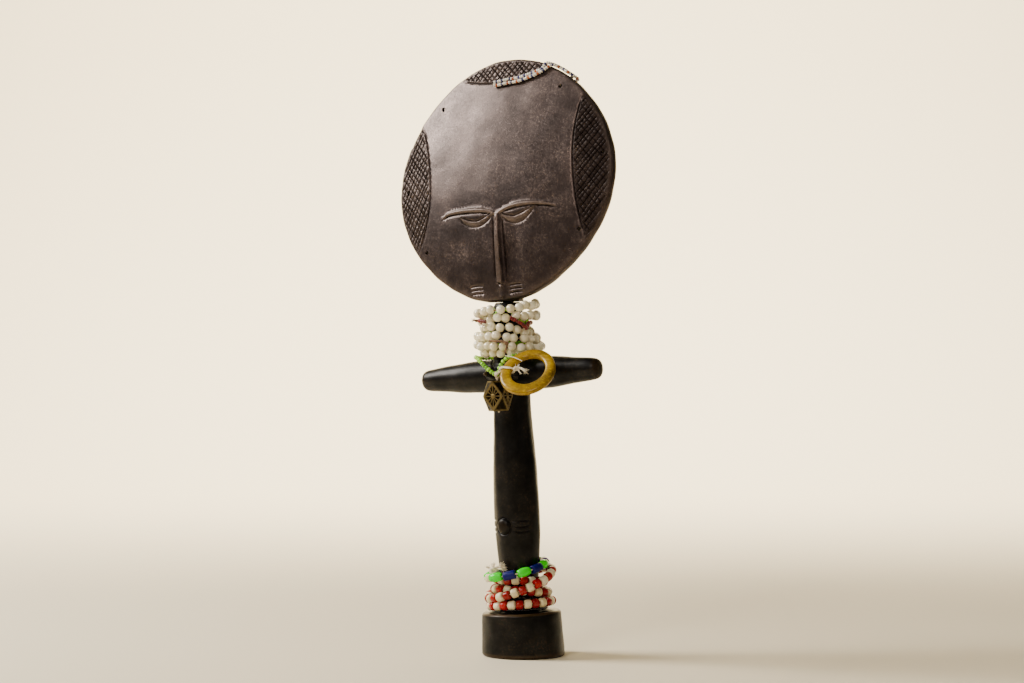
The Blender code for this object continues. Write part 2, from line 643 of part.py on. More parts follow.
def head_strand_route(row, lift):
    """Across the face, over the edge, along the rim, and back behind; row 1 runs inside row 0."""
    def level(points, back):
        out = []
        for u, v in points:
            u, v = Vector((u, v)) - Vector((u, v)).normalized() * row * HEAD_STRAND_SPREAD
            out.append(Vector((u, head_depth(u, v, back=back) + (lift if back else -lift), v)))
        return out
    corner = 0.75 * lift - 0.2
    first, last = HEAD_STRAND_RIM[0] - 5.0, HEAD_STRAND_RIM[-1] + 3.0
    return (level(HEAD_STRAND_FRONT, False)
            + [rim_point(first + 3.0 * row, corner, -0.75 * lift)]
            + [rim_point(b + 2.0 * row, lift + 0.1, HEAD_RIM_W + 1.4 - 2.8 * row)
               for b in HEAD_STRAND_RIM]
            + [rim_point(last + 3.0 * row, corner, HEAD_BACK_W + 0.75 * lift)]
            + level(HEAD_STRAND_BACK, True))


def head_strands(mats, figure):
    """Two seed strands that run from a hole over the edge and back behind, and their knot."""
    lift = SEED_R + GAP + 0.15
    for row, name in enumerate(("head_strand_upper", "head_strand_lower")):
        route = smooth_route([HEAD @ p for p in head_strand_route(row, lift)], 3, False)
        place(tube(route, [SEED_R] * len(route), 6, False), name, mats["head_seed"], figure)
    u, v = HEAD_HOLES[2]
    axis_points = [(-2.8, 0.6), (-1.4, 1.4), (-0.7, 1.4), (-0.6, 0.5), (0.6, 0.5), (0.7, 1.4),
                   (1.4, 1.4), (2.8, 0.6)]
    front_w, back_w = head_depth(u, v), head_depth(u, v, back=True)
    rings = []
    for w, r in axis_points:
        depth = (front_w if w < 0 else back_w) + w
        rings.append([HEAD @ p for p in circle(Vector((u - 1.2 * (r > 1), depth, v - 1.0 * (r > 1))),
                                               Vector((1, 0, 0)), Vector((0, 0, 1)), r, 8)])
    place(loft(rings), "head_strand_knot", mats["thread"], figure)


def build():
    clear_scene()
    figure = bpy.data.objects.new("figure", None)
    bpy.context.collection.objects.link(figure)
    figure.matrix_world = FIGURE
    dark = finish("stained_hardwood", (0.018, 0.012, 0.010), 0.42)
    grey = finish("worn_stained_hardwood", (0.060, 0.048, 0.042), 0.40)
    mats = {
        "pearl": finish("cream_pearl_beads", (0.80, 0.76, 0.64), 0.25),
        "green_seed": finish("lime_seed_beads", (0.36, 0.80, 0.16), 0.30),
        "red_seed": finish("coral_seed_beads", (0.35, 0.03, 0.02), 0.35),
        "head_seed": finish("mixed_seed_beads", (0.45, 0.30, 0.30), 0.35),
        "dark_seed": finish("black_seed_beads", (0.01, 0.012, 0.03), 0.20),
        "pony": finish("red_and_cream_pony_beads", (0.60, 0.25, 0.18), 0.25),
        "long_bead": finish("green_and_navy_long_beads", (0.08, 0.75, 0.06), 0.25),
        "cord": finish("brown_cord", (0.20, 0.12, 0.06), 0.90),
        "thread": finish("cotton_thread", (0.80, 0.74, 0.62), 0.95),
        "ring": finish("ochre_ring", (0.50, 0.28, 0.04), 0.22),
        "brass": finish("antique_brass", (0.22, 0.16, 0.07), 0.38, 1.0),
    }
    base_block(dark, figure)
    body(dark, figure)
    arm(-1, dark, figure)
    arm(1, dark, figure)
    head_plate(grey, figure)
    neck_dowel(dark, figure)
    head_strands(mats, figure)
    neck_strands(mats, figure)
    waist_strands(mats, figure)
    pendants(mats, figure)


build()
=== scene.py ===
"""Looks of the beaded fertility doll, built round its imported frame.

Lengths are in millimetres in the figure's own frame (+Z up the body, -Y to its front, +X to its
left hand) until to_world() leans them with the figure and turns them into metres.
"""
import math
import random

import bmesh
import bpy
import numpy as np
from mathutils import Matrix, Vector, noise
from mathutils.geometry import delaunay_2d_cdt


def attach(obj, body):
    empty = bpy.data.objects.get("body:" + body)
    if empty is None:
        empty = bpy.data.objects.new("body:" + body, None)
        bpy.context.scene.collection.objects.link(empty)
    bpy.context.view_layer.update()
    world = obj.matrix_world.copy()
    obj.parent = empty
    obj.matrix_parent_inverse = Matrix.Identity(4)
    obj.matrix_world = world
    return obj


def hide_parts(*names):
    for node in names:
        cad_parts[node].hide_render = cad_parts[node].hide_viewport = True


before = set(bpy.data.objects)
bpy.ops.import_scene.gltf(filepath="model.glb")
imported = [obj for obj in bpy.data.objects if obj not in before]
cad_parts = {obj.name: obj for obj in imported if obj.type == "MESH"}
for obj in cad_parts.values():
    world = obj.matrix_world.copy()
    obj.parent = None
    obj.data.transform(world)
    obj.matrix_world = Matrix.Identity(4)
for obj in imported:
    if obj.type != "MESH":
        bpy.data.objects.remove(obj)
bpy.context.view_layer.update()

MM = 0.001

# the stance, as in the frame
LEAN = math.radians(2.6)
LEAN_FACING = math.radians(33.0)
TOWARDS_VIEWER = Vector((math.sin(LEAN_FACING), -math.cos(LEAN_FACING), 0.0))
VIEWER_RIGHT = Vector((math.cos(LEAN_FACING), math.sin(LEAN_FACING), 0.0))
FIGURE = Matrix.Rotation(LEAN, 4, TOWARDS_VIEWER)
HEAD = (Matrix.Translation(Vector((-3.6, 7.2, 297.8)))
        @ Matrix.Rotation(math.radians(-10.8), 4, "X")
        @ Matrix.Rotation(math.radians(-3.8), 4, "Y"))

# the camera: level, far off, with a long lens
CAMERA_DISTANCE = 1632.0
CAMERA_HEIGHT = 198.3
CAMERA_ASIDE = -7.3
CAMERA_LENS = 90.77


# ------------------------------------------------------------------ small helpers

def tinted(hex_colour, alpha=1.0):
    """An sRGB hex colour as linear RGBA."""
    parts = [int(hex_colour[i:i + 2], 16) / 255 for i in (0, 2, 4)]
    return tuple(c / 12.92 if c <= 0.04045 else ((c + 0.055) / 1.055) ** 2.4 for c in parts) + (alpha,)


def socket(group, name):
    """The first shown socket of that name, or the one at that place."""
    if isinstance(name, int):
        return group[name]
    return next(s for s in group if s.name == name and s.enabled)


def add(tree, kind, inputs=None, **settings):
    """Adds a node with its settings; inputs maps a socket to a value or to another's output."""
    node = tree.nodes.new(kind)
    for key, value in settings.items():
        setattr(node, key, value)
    for key, value in (inputs or {}).items():
        target = socket(node.inputs, key)
        if isinstance(value, bpy.types.Node):
            value = next(s for s in value.outputs if s.enabled)
        if isinstance(value, bpy.types.NodeSocket):
            tree.links.new(value, target)
        else:
            target.default_value = value
    return node


def to_world(points):
    """Figure millimetres to world metres."""
    turn = np.array(FIGURE.to_3x3())
    return (np.asarray(points, float) @ turn.T) * MM


def from_head(points):
    """Head millimetres (u, w, v) to figure millimetres."""
    pts = np.asarray(points, float)
    return pts @ np.array(HEAD.to_3x3()).T + np.array(HEAD.translation)


def make_piece(name, points, faces, mats, slots=None, sharp=None, **attributes):
    """A mesh object at the origin; points are figure millimetres."""
    mesh = bpy.data.meshes.new(name)
    mesh.from_pydata([tuple(p) for p in to_world(points)], [], [tuple(map(int, f)) for f in faces])
    for mat in mats:
        mesh.materials.append(mat)
    if slots is not None:
        mesh.polygons.foreach_set("material_index", np.asarray(slots, np.int32))
    for key, values in attributes.items():
        mesh.attributes.new(key, "FLOAT", "POINT").data.foreach_set(
            "value", np.asarray(values, np.float32))
    bm = bmesh.new()
    bm.from_mesh(mesh)
    bmesh.ops.recalc_face_normals(bm, faces=bm.faces)
    bm.to_mesh(mesh)
    bm.free()
    mesh.shade_smooth()
    if sharp:
        mesh.set_sharp_from_angle(angle=math.radians(sharp))
    obj = bpy.data.objects.new(name, mesh)
    bpy.context.collection.objects.link(obj)
    return obj


def settle(obj, body, slot_name, *nodes):
    """Puts a finished piece on its body, in place of the frame's nodes."""
    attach(obj, body)
    if nodes:
        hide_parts(*nodes)
    return obj


def grid_faces(rows, columns, closed_columns=True, closed_rows=False):
    """Quads over rows x columns of points, row by row."""
    faces = []
    for r in range(rows if closed_rows else rows - 1):
        for c in range(columns if closed_columns else columns - 1):
            d, n = (r + 1) % rows, (c + 1) % columns
            faces.append((r * columns + c, r * columns + n, d * columns + n, d * columns + c))
    return faces


def rounded(x):
    """A smooth step from 0 to 1."""
    x = np.clip(x, 0.0, 1.0)
    return x * x * (3 - 2 * x)


def wobble(points, size, amount, seed=0.0):
    """Slow unevenness of a hand-cut surface: one value for each point."""
    return np.array([noise.noise(Vector(p) / size + Vector((seed, seed, seed))) * amount
                     for p in points])


def smooth_route(points, steps, closed):
    """Points on a Catmull-Rom curve through the given points."""
    pts = [Vector(p) for p in points]
    count = len(pts)
    out = []
    for i in range(count if closed else count - 1):
        if closed:
            a, b, c, d = (pts[(i + k) % count] for k in (-1, 0, 1, 2))
        else:
            a, b, c, d = (pts[min(max(i + k, 0), count - 1)] for k in (-1, 0, 1, 2))
        for s in range(steps):
            t = s / steps
            out.append(0.5 * (2 * b + (c - a) * t + (2 * a - 5 * b + 4 * c - d) * t ** 2
                              + (3 * b - a - 3 * c + d) * t ** 3))
    if not closed:
        out.append(pts[-1])
    return out


# ------------------------------------------------------------------ materials

def blank_material(name):
    mat = bpy.data.materials.new(name)
    mat.use_nodes = True
    tree = mat.node_tree
    tree.nodes.clear()
    shader = add(tree, "ShaderNodeBsdfPrincipled")
    add(tree, "ShaderNodeOutputMaterial", {"Surface": shader})
    return mat, tree, shader


def ramp(tree, factor, *stops):
    """A colour ramp; stops are (place, linear colour or grey)."""
    node = add(tree, "ShaderNodeValToRGB", {"Fac": factor})
    marks = node.color_ramp.elements
    while len(marks) < len(stops):
        marks.new(0.5)
    for mark, (place, colour) in zip(marks, stops):
        mark.position = place
        mark.color = colour if isinstance(colour, tuple) else (colour, colour, colour, 1)
    return node


def noise_at(tree, vector, size_mm, detail=4.0, rough=0.55, distortion=0.0):
    return add(tree, "ShaderNodeTexNoise", {"Vector": vector, "Scale": 1000 / size_mm,
                                            "Detail": detail, "Roughness": rough,
                                            "Distortion": distortion})


def blend_colour(tree, factor, first, second, mode="MIX"):
    node = add(tree, "ShaderNodeMix", data_type="RGBA", blend_type=mode)
    for place, value in ((0, factor), (6, first), (7, second)):
        if isinstance(value, bpy.types.Node):
            value = next(s for s in value.outputs if s.enabled)
        if isinstance(value, bpy.types.NodeSocket):
            tree.links.new(value, node.inputs[place])
        else:
            node.inputs[place].default_value = value
    return node.outputs[2]


def stained_wood(name, deep, middle, worn, cut_shade_colour, rough=(0.36, 0.52), grain_strength=0.25,
                 along=(1.0, 1.0, 0.10), scratch_share=0.0, gloss=0.4, tint="FFFFFF"):
    """Hand-carved hardwood under a dark oil stain, rubbed by handling.

    The stain lies deeper in the pores; ridges and corners show the worn colour, and the
    bottoms of the cuts, where the flecks let it, are painted near black: painted shade.  The
    grain runs up the figure.
    """
    mat, tree, shader = blank_material(name)
    coord = add(tree, "ShaderNodeTexCoord")
    lie = add(tree, "ShaderNodeMapping", {"Vector": coord.outputs["Object"], "Scale": along})
    grain = noise_at(tree, lie.outputs[0], 1.1, 6, 0.6)
    cloud = noise_at(tree, coord.outputs["Object"], 17, 5, 0.6)
    speck = noise_at(tree, coord.outputs["Object"], 1.6, 5, 0.7)
    tone = add(tree, "ShaderNodeMath", {0: grain.outputs[0], 1: cloud.outputs[0]},
               operation="MULTIPLY")
    base = ramp(tree, tone, (0.12, deep), (0.42, middle))
    patch = ramp(tree, cloud.outputs[0], (0.46, 0.0), (0.68, 1.0))
    fleck = ramp(tree, speck.outputs[0], (0.50, 0.0), (0.72, 1.0))
    faint = add(tree, "ShaderNodeMath", {0: patch.outputs[0], 1: fleck.outputs[0]},
                operation="MULTIPLY")
    faint_half = add(tree, "ShaderNodeMath", {0: faint.outputs[0], 1: 0.40}, operation="MULTIPLY")
    flecked = blend_colour(tree, faint_half.outputs[0], base.outputs[0], worn)
    # fine scratches from handling, in two directions, only where the cloud lets them show
    for turn, size in (((0.0, 1.15, 0.5), 0.5), ((0.0, 0.45, 0.5), 0.6)):
        lay = add(tree, "ShaderNodeMapping", {"Vector": coord.outputs["Object"], "Rotation": turn,
                                              "Scale": (26.0, 1.0, 1.0)}, vector_type="TEXTURE")
        hair = noise_at(tree, lay.outputs[0], size, 2, 0.4)
        thin = ramp(tree, hair.outputs[0], (0.66, 0.0), (0.72, scratch_share))
        shown = add(tree, "ShaderNodeMath", {0: thin.outputs[0], 1: patch.outputs[0]},
                    operation="MULTIPLY")
        flecked = blend_colour(tree, shown.outputs[0], flecked, worn)
    wear = add(tree, "ShaderNodeAttribute", attribute_name="wear")
    wear_broken = add(tree, "ShaderNodeMath", {0: wear.outputs["Fac"], 1: speck.outputs[0]},
                      operation="MULTIPLY")
    wear_full = add(tree, "ShaderNodeMath", {0: wear_broken.outputs[0], 1: 1.5},
                    operation="MULTIPLY", use_clamp=True)
    rubbed = blend_colour(tree, wear_full.outputs[0], flecked, worn)
    # painted shade: by the carve share, the bottoms of the cuts go to the near-black cut colour
    carve = add(tree, "ShaderNodeAttribute", attribute_name="carve")
    cut = add(tree, "ShaderNodeMath", {0: carve.outputs["Fac"], 1: fleck.outputs[0]},
              operation="MULTIPLY")
    cuts_shaded = blend_colour(tree, cut.outputs[0], rubbed, cut_shade_colour)
    tree.links.new(cuts_shaded, shader.inputs["Base Color"])
    sheen_map = ramp(tree, speck.outputs[0], (0.3, rough[0]), (0.75, rough[1]))
    tree.links.new(sheen_map.outputs[0], shader.inputs["Roughness"])
    scratch_lie = add(tree, "ShaderNodeMapping",
                      {"Vector": coord.outputs["Object"], "Rotation": (0.2, 0.9, 0.4),
                       "Scale": (1.0, 0.05, 1.0)})
    scratch = noise_at(tree, scratch_lie.outputs[0], 0.8, 3, 0.5, 0.3)
    scratches = ramp(tree, scratch.outputs[0], (0.34, 0.0), (0.40, 1.0))
    relief = add(tree, "ShaderNodeMath", {0: grain.outputs[0], 1: scratches.outputs[0]},
                 operation="MULTIPLY")
    bump = add(tree, "ShaderNodeBump", {"Strength": grain_strength, "Distance": 0.0003,
                                        "Height": relief.outputs[0]})
    coarse = add(tree, "ShaderNodeBump", {"Strength": 0.18, "Distance": 0.0008,
                                          "Height": cloud.outputs[0], "Normal": bump.outputs[0]})
    tree.links.new(coarse.outputs[0], shader.inputs["Normal"])
    # hatched ground lies dull: its many small cuts scatter the shine
    dull = add(tree, "ShaderNodeAttribute", attribute_name="dull")
    shine = add(tree, "ShaderNodeMath", {0: dull.outputs["Fac"], 1: -gloss, 2: gloss},
                operation="MULTIPLY_ADD")
    mottled = add(tree, "ShaderNodeMath",
                  {0: shine, 1: ramp(tree, cloud.outputs[0], (0.35, 0.65), (0.65, 1.25))},
                  operation="MULTIPLY")
    tree.links.new(mottled.outputs[0], shader.inputs["Specular IOR Level"])
    shader.inputs["Specular Tint"].default_value = tinted(tint)
    shader.inputs["IOR"].default_value = 1.5
    return mat


def bead_material(name, light, dark, rough, coat=0.0, grime=0.15, grime_size=1.2, pits=0.05,
                  subsurface=0.0, gloss=0.5):
    """A moulded or drawn bead; tint is a random value kept for each bead."""
    mat, tree, shader = blank_material(name)
    coord = add(tree, "ShaderNodeTexCoord")
    tint = add(tree, "ShaderNodeAttribute", attribute_name="tint")
    shade = ramp(tree, tint.outputs["Fac"], (0.0, dark), (1.0, light))
    dirt = noise_at(tree, coord.outputs["Object"], grime_size, 4, 0.65)
    mask = ramp(tree, dirt.outputs[0], (0.48, 0.0), (0.70, grime))
    soiled = blend_colour(tree, mask.outputs[0], shade.outputs[0],
                          tuple(c * 0.35 for c in dark[:3]) + (1,))
    tree.links.new(soiled, shader.inputs["Base Color"])
    polish = ramp(tree, dirt.outputs[0], (0.3, max(rough - 0.06, 0.03)), (0.7, rough + 0.10))
    tree.links.new(polish.outputs[0], shader.inputs["Roughness"])
    bump = add(tree, "ShaderNodeBump", {"Strength": 0.5, "Distance": pits * MM,
                                        "Height": dirt.outputs[0]})
    tree.links.new(bump.outputs[0], shader.inputs["Normal"])
    shader.inputs["Coat Weight"].default_value = coat
    shader.inputs["Coat Roughness"].default_value = 0.16
    shader.inputs["Specular IOR Level"].default_value = gloss
    if subsurface:
        shader.inputs["Subsurface Weight"].default_value = subsurface
        shader.inputs["Subsurface Radius"].default_value = (0.0012, 0.0009, 0.0006)
    return mat


def thread_material(name, light, dark):
    """Spun fibre: rough, matt and a little fuzzy, darker where it has been handled."""
    mat, tree, shader = blank_material(name)
    coord = add(tree, "ShaderNodeTexCoord")
    fuzz = noise_at(tree, coord.outputs["Object"], 0.5, 4, 0.7)
    soil = noise_at(tree, coord.outputs["Object"], 4.0, 3, 0.6)
    tone = add(tree, "ShaderNodeMath", {0: fuzz.outputs[0], 1: soil.outputs[0]},
               operation="MULTIPLY")
    shade = ramp(tree, tone, (0.12, dark), (0.36, light))
    tree.links.new(shade.outputs[0], shader.inputs["Base Color"])
    bump = add(tree, "ShaderNodeBump", {"Strength": 0.6, "Distance": 0.0002,
                                        "Height": fuzz.outputs[0]})
    tree.links.new(bump.outputs[0], shader.inputs["Normal"])
    shader.inputs["Roughness"].default_value = 0.92
    shader.inputs["Sheen Weight"].default_value = 0.3
    return mat


def ring_material():
    """Ochre-dyed horn under clear lacquer: short bright fibres and darker clouds."""
    mat, tree, shader = blank_material("lacquered_ochre_horn")
    coord = add(tree, "ShaderNodeTexCoord")
    cloud = noise_at(tree, coord.outputs["Object"], 9, 4, 0.6)
    lie = add(tree, "ShaderNodeMapping", {"Vector": coord.outputs["Object"],
                                          "Rotation": (0.3, 0.5, 0.2), "Scale": (0.35, 1, 1)})
    fibre = noise_at(tree, lie.outputs[0], 0.9, 6, 0.75, 0.4)
    base = ramp(tree, cloud.outputs[0], (0.30, tinted("5A4400")), (0.50, tinted("8A6A00")),
                (0.72, tinted("A88600")))
    glint = ramp(tree, fibre.outputs[0], (0.52, 0.0), (0.70, 0.75))
    dots = ramp(tree, fibre.outputs[0], (0.30, 0.7), (0.44, 0.0))
    bright = blend_colour(tree, glint.outputs[0], base.outputs[0], tinted("C4A824"))
    flecked = blend_colour(tree, dots.outputs[0], bright, tinted("463002"))
    tree.links.new(flecked, shader.inputs["Base Color"])
    bump = add(tree, "ShaderNodeBump", {"Strength": 0.25, "Distance": 0.00015,
                                        "Height": fibre.outputs[0]})
    tree.links.new(bump.outputs[0], shader.inputs["Normal"])
    shader.inputs["Roughness"].default_value = 0.40
    shader.inputs["Specular IOR Level"].default_value = 0.25
    shader.inputs["Specular Tint"].default_value = tinted("FFE08A")
    shader.inputs["Coat Weight"].default_value = 0.30
    shader.inputs["Coat Roughness"].default_value = 0.10
    return mat


def brass_material(name, bright, tarnish, rough):
    """Cast brass gone brown: bright only where it rubs."""
    mat, tree, shader = blank_material(name)
    coord = add(tree, "ShaderNodeTexCoord")
    patina = noise_at(tree, coord.outputs["Object"], 2.5, 6, 0.7)
    wear = add(tree, "ShaderNodeAttribute", attribute_name="wear")
    show = add(tree, "ShaderNodeMath", {0: wear.outputs["Fac"], 1: patina.outputs[0]},
               operation="MULTIPLY")
    rubbed = ramp(tree, show, (0.16, 0.0), (0.42, 1.0))
    colour = blend_colour(tree, rubbed.outputs[0], tarnish, bright)
    tree.links.new(colour, shader.inputs["Base Color"])
    gloss = ramp(tree, patina.outputs[0], (0.3, rough), (0.7, rough + 0.22))
    tree.links.new(gloss.outputs[0], shader.inputs["Roughness"])
    bump = add(tree, "ShaderNodeBump", {"Strength": 0.4, "Distance": 0.00025,
                                        "Height": patina.outputs[0]})
    tree.links.new(bump.outputs[0], shader.inputs["Normal"])
    shader.inputs["Metallic"].default_value = 1.0
    return mat


def make_materials():
    mats = {}
    # hardwood, carved, oil-stained almost black and rubbed: a soft streak of shine, dark grain
    # the fourth colour, near black, is painted shade for the bottoms of the cuts
    mats["dark_wood"] = stained_wood("oil_stained_hardwood", tinted("030202"), tinted("0B0807"),
                                     tinted("5A4426"), tinted("040303"), (0.30, 0.44), 0.16,
                                     gloss=0.20)
    # the same wood, more handled: a broad dusky sheen, fine scratches, dull hatched ground
    # the fourth colour is again painted shade for the bottoms of the cuts
    mats["head_wood"] = stained_wood("handled_stained_hardwood", tinted("0E0909"),
                                     tinted("1D1617"), tinted("7C6C62"), tinted("060404"),
                                     (0.27, 0.46), 0.22, (1.0, 1.0, 0.5), 0.8, 0.66, "F8DAD2")
    # imitation pearl, a dipped bead: creamy, with a soft bright spot
    mats["pearl"] = bead_material("pearlised_cream_bead", tinted("FFF8DE"), tinted("E6DAB2"),
                                  0.14, coat=1.0, grime=0.10, grime_size=1.6, pits=0.07,
                                  subsurface=0.10, gloss=0.9)
    # moulded plastic pony and long beads: strong even colour, low gloss, a little grime
    mats["red_pony"] = bead_material("moulded_red_bead", tinted("B00200"), tinted("7E0200"),
                                     0.20, coat=0.0, grime=0.10, pits=0.03, gloss=0.35)
    mats["cream_pony"] = bead_material("moulded_cream_bead", tinted("F4EACB"), tinted("DCCA9A"),
                                       0.36, coat=0.1, grime=0.28, grime_size=0.9, pits=0.08)
    mats["green_long"] = bead_material("bright_green_barrel_bead", tinted("30F00C"),
                                       tinted("22DC08"), 0.20, grime=0.03, pits=0.02, gloss=0.35)
    mats["navy_long"] = bead_material("navy_tube_bead", tinted("0A1378"), tinted("060B4C"),
                                      0.34, grime=0.25, grime_size=0.8, pits=0.09, gloss=0.22)
    # cut glass seed beads: small, rounded by tumbling, a pinpoint shine
    mats["lime_seed"] = bead_material("lime_seed_bead", tinted("B0E850"), tinted("68A824"), 0.20,
                                      coat=0.1, grime=0.10, gloss=0.35)
    mats["coral_seed"] = bead_material("coral_seed_bead", tinted("8E1408"), tinted("5E0A04"),
                                       0.30, coat=0.3, grime=0.2)
    mats["white_seed"] = bead_material("white_seed_bead", tinted("F2EEE6"), tinted("DAD3C6"),
                                       0.25, coat=0.4, grime=0.12)
    mats["orange_seed"] = bead_material("orange_seed_bead", tinted("C0683A"), tinted("8E4420"),
                                        0.28, coat=0.3, grime=0.15)
    mats["navy_seed"] = bead_material("navy_seed_bead", tinted("2C2C6E"), tinted("1A1A44"), 0.22,
                                      coat=0.4, grime=0.15)
    mats["black_seed"] = bead_material("black_glass_seed_bead", tinted("10142A"),
                                       tinted("06080F"), 0.12, coat=0.6, grime=0.1)
    # spun cotton and a brown twisted cord: matt and fuzzy
    mats["cotton"] = thread_material("undyed_cotton_thread", tinted("FFF8E6"), tinted("D8C9A2"))
    mats["brown_cord"] = thread_material("brown_twisted_cord", tinted("9A7650"),
                                         tinted("4E3420"))
    mats["ring"] = ring_material()
    # cast brass gone brown, rubbed bright on its edges and spokes, dark within
    mats["brass"] = brass_material("antique_cast_brass", tinted("7A6A44"), tinted("17130B"), 0.40)
    mats["brass_inside"] = brass_material("tarnished_brass_inside", tinted("2A2014"),
                                          tinted("120D08"), 0.60)
    return mats


# ------------------------------------------------------------------ head disc

HEAD_R = 78.6
HEAD_CHIN_DRAW = 3.7
HEAD_CROWN = 8.6
HEAD_RIM_W = 3.2
HEAD_BACK_W = 6.2
HEAD_BACK_CROWN = 0.8
HEAD_HOLES = [(-72.6, 4.8), (-45.8, 56.4), (-5.5, 66.4), (43.5, 58.1), (74.1, 10.8),
              (57.1, -36.3), (-57.7, -37.2)]
HEAD_HOLE_R = 1.25
UNDERSIDE_Z = 223.55
EDGE_INSET = 1.5               # where the face's carving stops and the rounded edge begins
EDGE_POINTS = 260
HATCH_STEP = 2.8
NOSE_TOP_V, NOSE_END_V = -20.0, -63.5
NOSE_TOP_HALF, NOSE_END_HALF = 2.0, 2.6
MOUTH_TOP_V, MOUTH_END_V = -65.0, -73.0

# middle lines of brows, lid creases and lower lids, for the figure's right (-1) and left (1)
BROWS = {-1: [(-2.0, -19.6), (-6.5, -17.8), (-12.0, -16.5), (-19.0, -15.7), (-28.5, -15.0),
              (-36.8, -15.2), (-42.6, -16.8)],
         1: [(1.5, -19.4), (6.3, -17.7), (12.3, -16.5), (20.3, -16.1), (28.1, -16.6),
             (35.0, -17.7), (41.5, -19.3)]}
CREASES = {-1: [(-4.2, -19.4), (-8.2, -20.8), (-14.5, -22.8), (-20.8, -22.0), (-27.1, -19.4)],
           1: [(3.6, -20.2), (6.4, -21.6), (12.7, -22.9), (20.0, -21.0), (25.8, -18.8)]}
LIDS = {-1: [(-4.4, -20.7), (-9.1, -24.0), (-14.7, -25.8), (-20.9, -25.0), (-26.4, -21.9),
             (-29.5, -17.8)],
        1: [(3.2, -21.6), (6.9, -24.7), (12.5, -26.5), (18.3, -25.8), (22.8, -22.7),
            (27.0, -18.8)]}


def head_outline(angle):
    """Distance of the disc's edge from the head's centre; the angle is measured from the chin."""
    return (HEAD_R - HEAD_CHIN_DRAW * np.cos(angle) - 0.6 * np.cos(2 * angle)
            + 1.1 * np.cos(4 * angle))


def edge_share(u, v):
    """0 at the head's centre, 1 at its edge."""
    u, v = np.asarray(u, float), np.asarray(v, float)
    return np.hypot(u, v) / head_outline(np.arctan2(u, -v))


def front_depth(u, v):
    """Depth of the domed face; less is nearer the front."""
    return -HEAD_CROWN * (1 - np.minimum(edge_share(u, v), 1.0) ** 1.9)


def boss_depth(u, v):
    """How far the neck boss swells from the back of the disc, behind the chin."""
    swell = 9.6 * rounded((-38.0 - v) / 34.0)
    half = 8.8
    across = np.clip(1 - (np.abs(u) / half) ** 2.6, 0, 1) ** 0.5
    return swell * across


def back_depth(u, v):
    share = np.minimum(edge_share(u, v), 1.0)
    return HEAD_BACK_W + HEAD_BACK_CROWN * (1 - share ** 2) + boss_depth(u, v)


def zone_border(zone, along):
    """Where a hatched zone's curved border lies, at a place along it (mm)."""
    if zone == "left":
        return -53.4 - np.where(along > 3, 0.0045, 0.0072) * (along - 3) ** 2
    if zone == "right":
        return 53.8 + np.where(along > 12, 0.0036, 0.0024) * (along - 12) ** 2
    return 67.0 + np.where(along < 5, 0.0048, 0.0060) * (along - 5) ** 2


def hatch_zone(zone, u, v):
    """How far inside a hatched zone a point lies, across its border (mm)."""
    if zone == "left":
        return zone_border(zone, v) - u
    if zone == "right":
        return u - zone_border(zone, v)
    return v - zone_border(zone, u)


# each zone's two families of cuts: (tilt in degrees, depth)
HATCHES = {"left": ((59, 0.85), (-50, 0.6)), "right": ((48, 0.8), (-50, 0.5)),
           "top": ((50, 0.85), (-47, 0.7))}
# how dull each hatched zone lies; the same share also holds back the lighter worn colour on its flats, so
# the right zone, on the side away from the key light, is painted darker: painted shade
HATCH_DULLNESS_AND_SHADE = {"left": 0.55, "right": 0.9, "top": 0.5}


def hatch_lines():
    """The crossed cuts of each zone: (points, depth, half width)."""
    lines = []
    for zone, families in HATCHES.items():
        for tilt, depth in families:
            a = math.radians(tilt)
            along, aside = np.array((math.cos(a), math.sin(a))), np.array((-math.sin(a), math.cos(a)))
            for k in range(-34, 35):
                bend = 0.35 * math.sin(k * 1.7 + tilt)
                span = np.arange(-95, 95, 0.9)
                pts = (aside * (k * HATCH_STEP + bend)) + np.outer(span, along)
                pts += aside * (0.25 * np.sin(span / 9 + k))[:, None]
                inside = ((hatch_zone(zone, pts[:, 0], pts[:, 1]) > 0.7)
                          & (edge_share(pts[:, 0], pts[:, 1]) < 1 - 0.9 * EDGE_INSET / HEAD_R))
                ids = np.flatnonzero(inside)
                if len(ids) < 3:
                    continue
                for run in np.split(ids, np.flatnonzero(np.diff(ids) > 1) + 1):
                    if len(run) >= 3:
                        lines.append((pts[run], depth * (0.8 + 0.35 * math.sin(k * 2.3)), 0.50))
    return lines


def border_lines():
    """The deeper cut that bounds each hatched zone."""
    lines = []
    reach = np.arange(-80, 80, 1.0)
    for zone in HATCHES:
        border = zone_border(zone, reach)
        pts = np.stack([reach, border] if zone == "top" else [border, reach], 1)
        inside = edge_share(pts[:, 0], pts[:, 1]) < 1 - EDGE_INSET / HEAD_R
        lines.append((pts[inside], 0.75, 0.75))
    return lines


def flat_route(points, steps=6):
    """A smooth line on the face through the given (u, v) points."""
    return np.array([(p.x, p.y) for p in smooth_route([(u, v, 0) for u, v in points], steps, False)])


def face_lines():
    """Cuts on the face: eye slits, the lines round lids and brows, the nose's sides, scars."""
    lines = []
    for side in (-1, 1):
        below = flat_route([(u, v - 1.45) for u, v in BROWS[side][1:]])
        under = flat_route([(u, v - 0.9) for u, v in LIDS[side]])
        lines += [(flat_route(CREASES[side]), 0.75, 0.5), (under, 0.5, 0.55), (below, 0.8, 0.5)]
        side_of_nose = np.array([(side * (3.5 + 0.6 * t), NOSE_TOP_V - 1.5 - 41 * t)
                                 for t in np.linspace(0, 1, 40)])
        lines.append((side_of_nose, 0.9, 0.8))
        inner, outer = (4.8, 14.8) if side > 0 else (14.0, 24.0)
        drop = -1.2 if side > 0 else 0.6
        for k in range(3):
            v = -65.0 + drop - 2.35 * k
            scar = np.array([(side * u, v + 0.5 * math.sin((u - inner) / 3.5))
                             for u in np.linspace(inner, outer, 14)])
            lines.append((scar, 0.85, 0.62))
    return lines


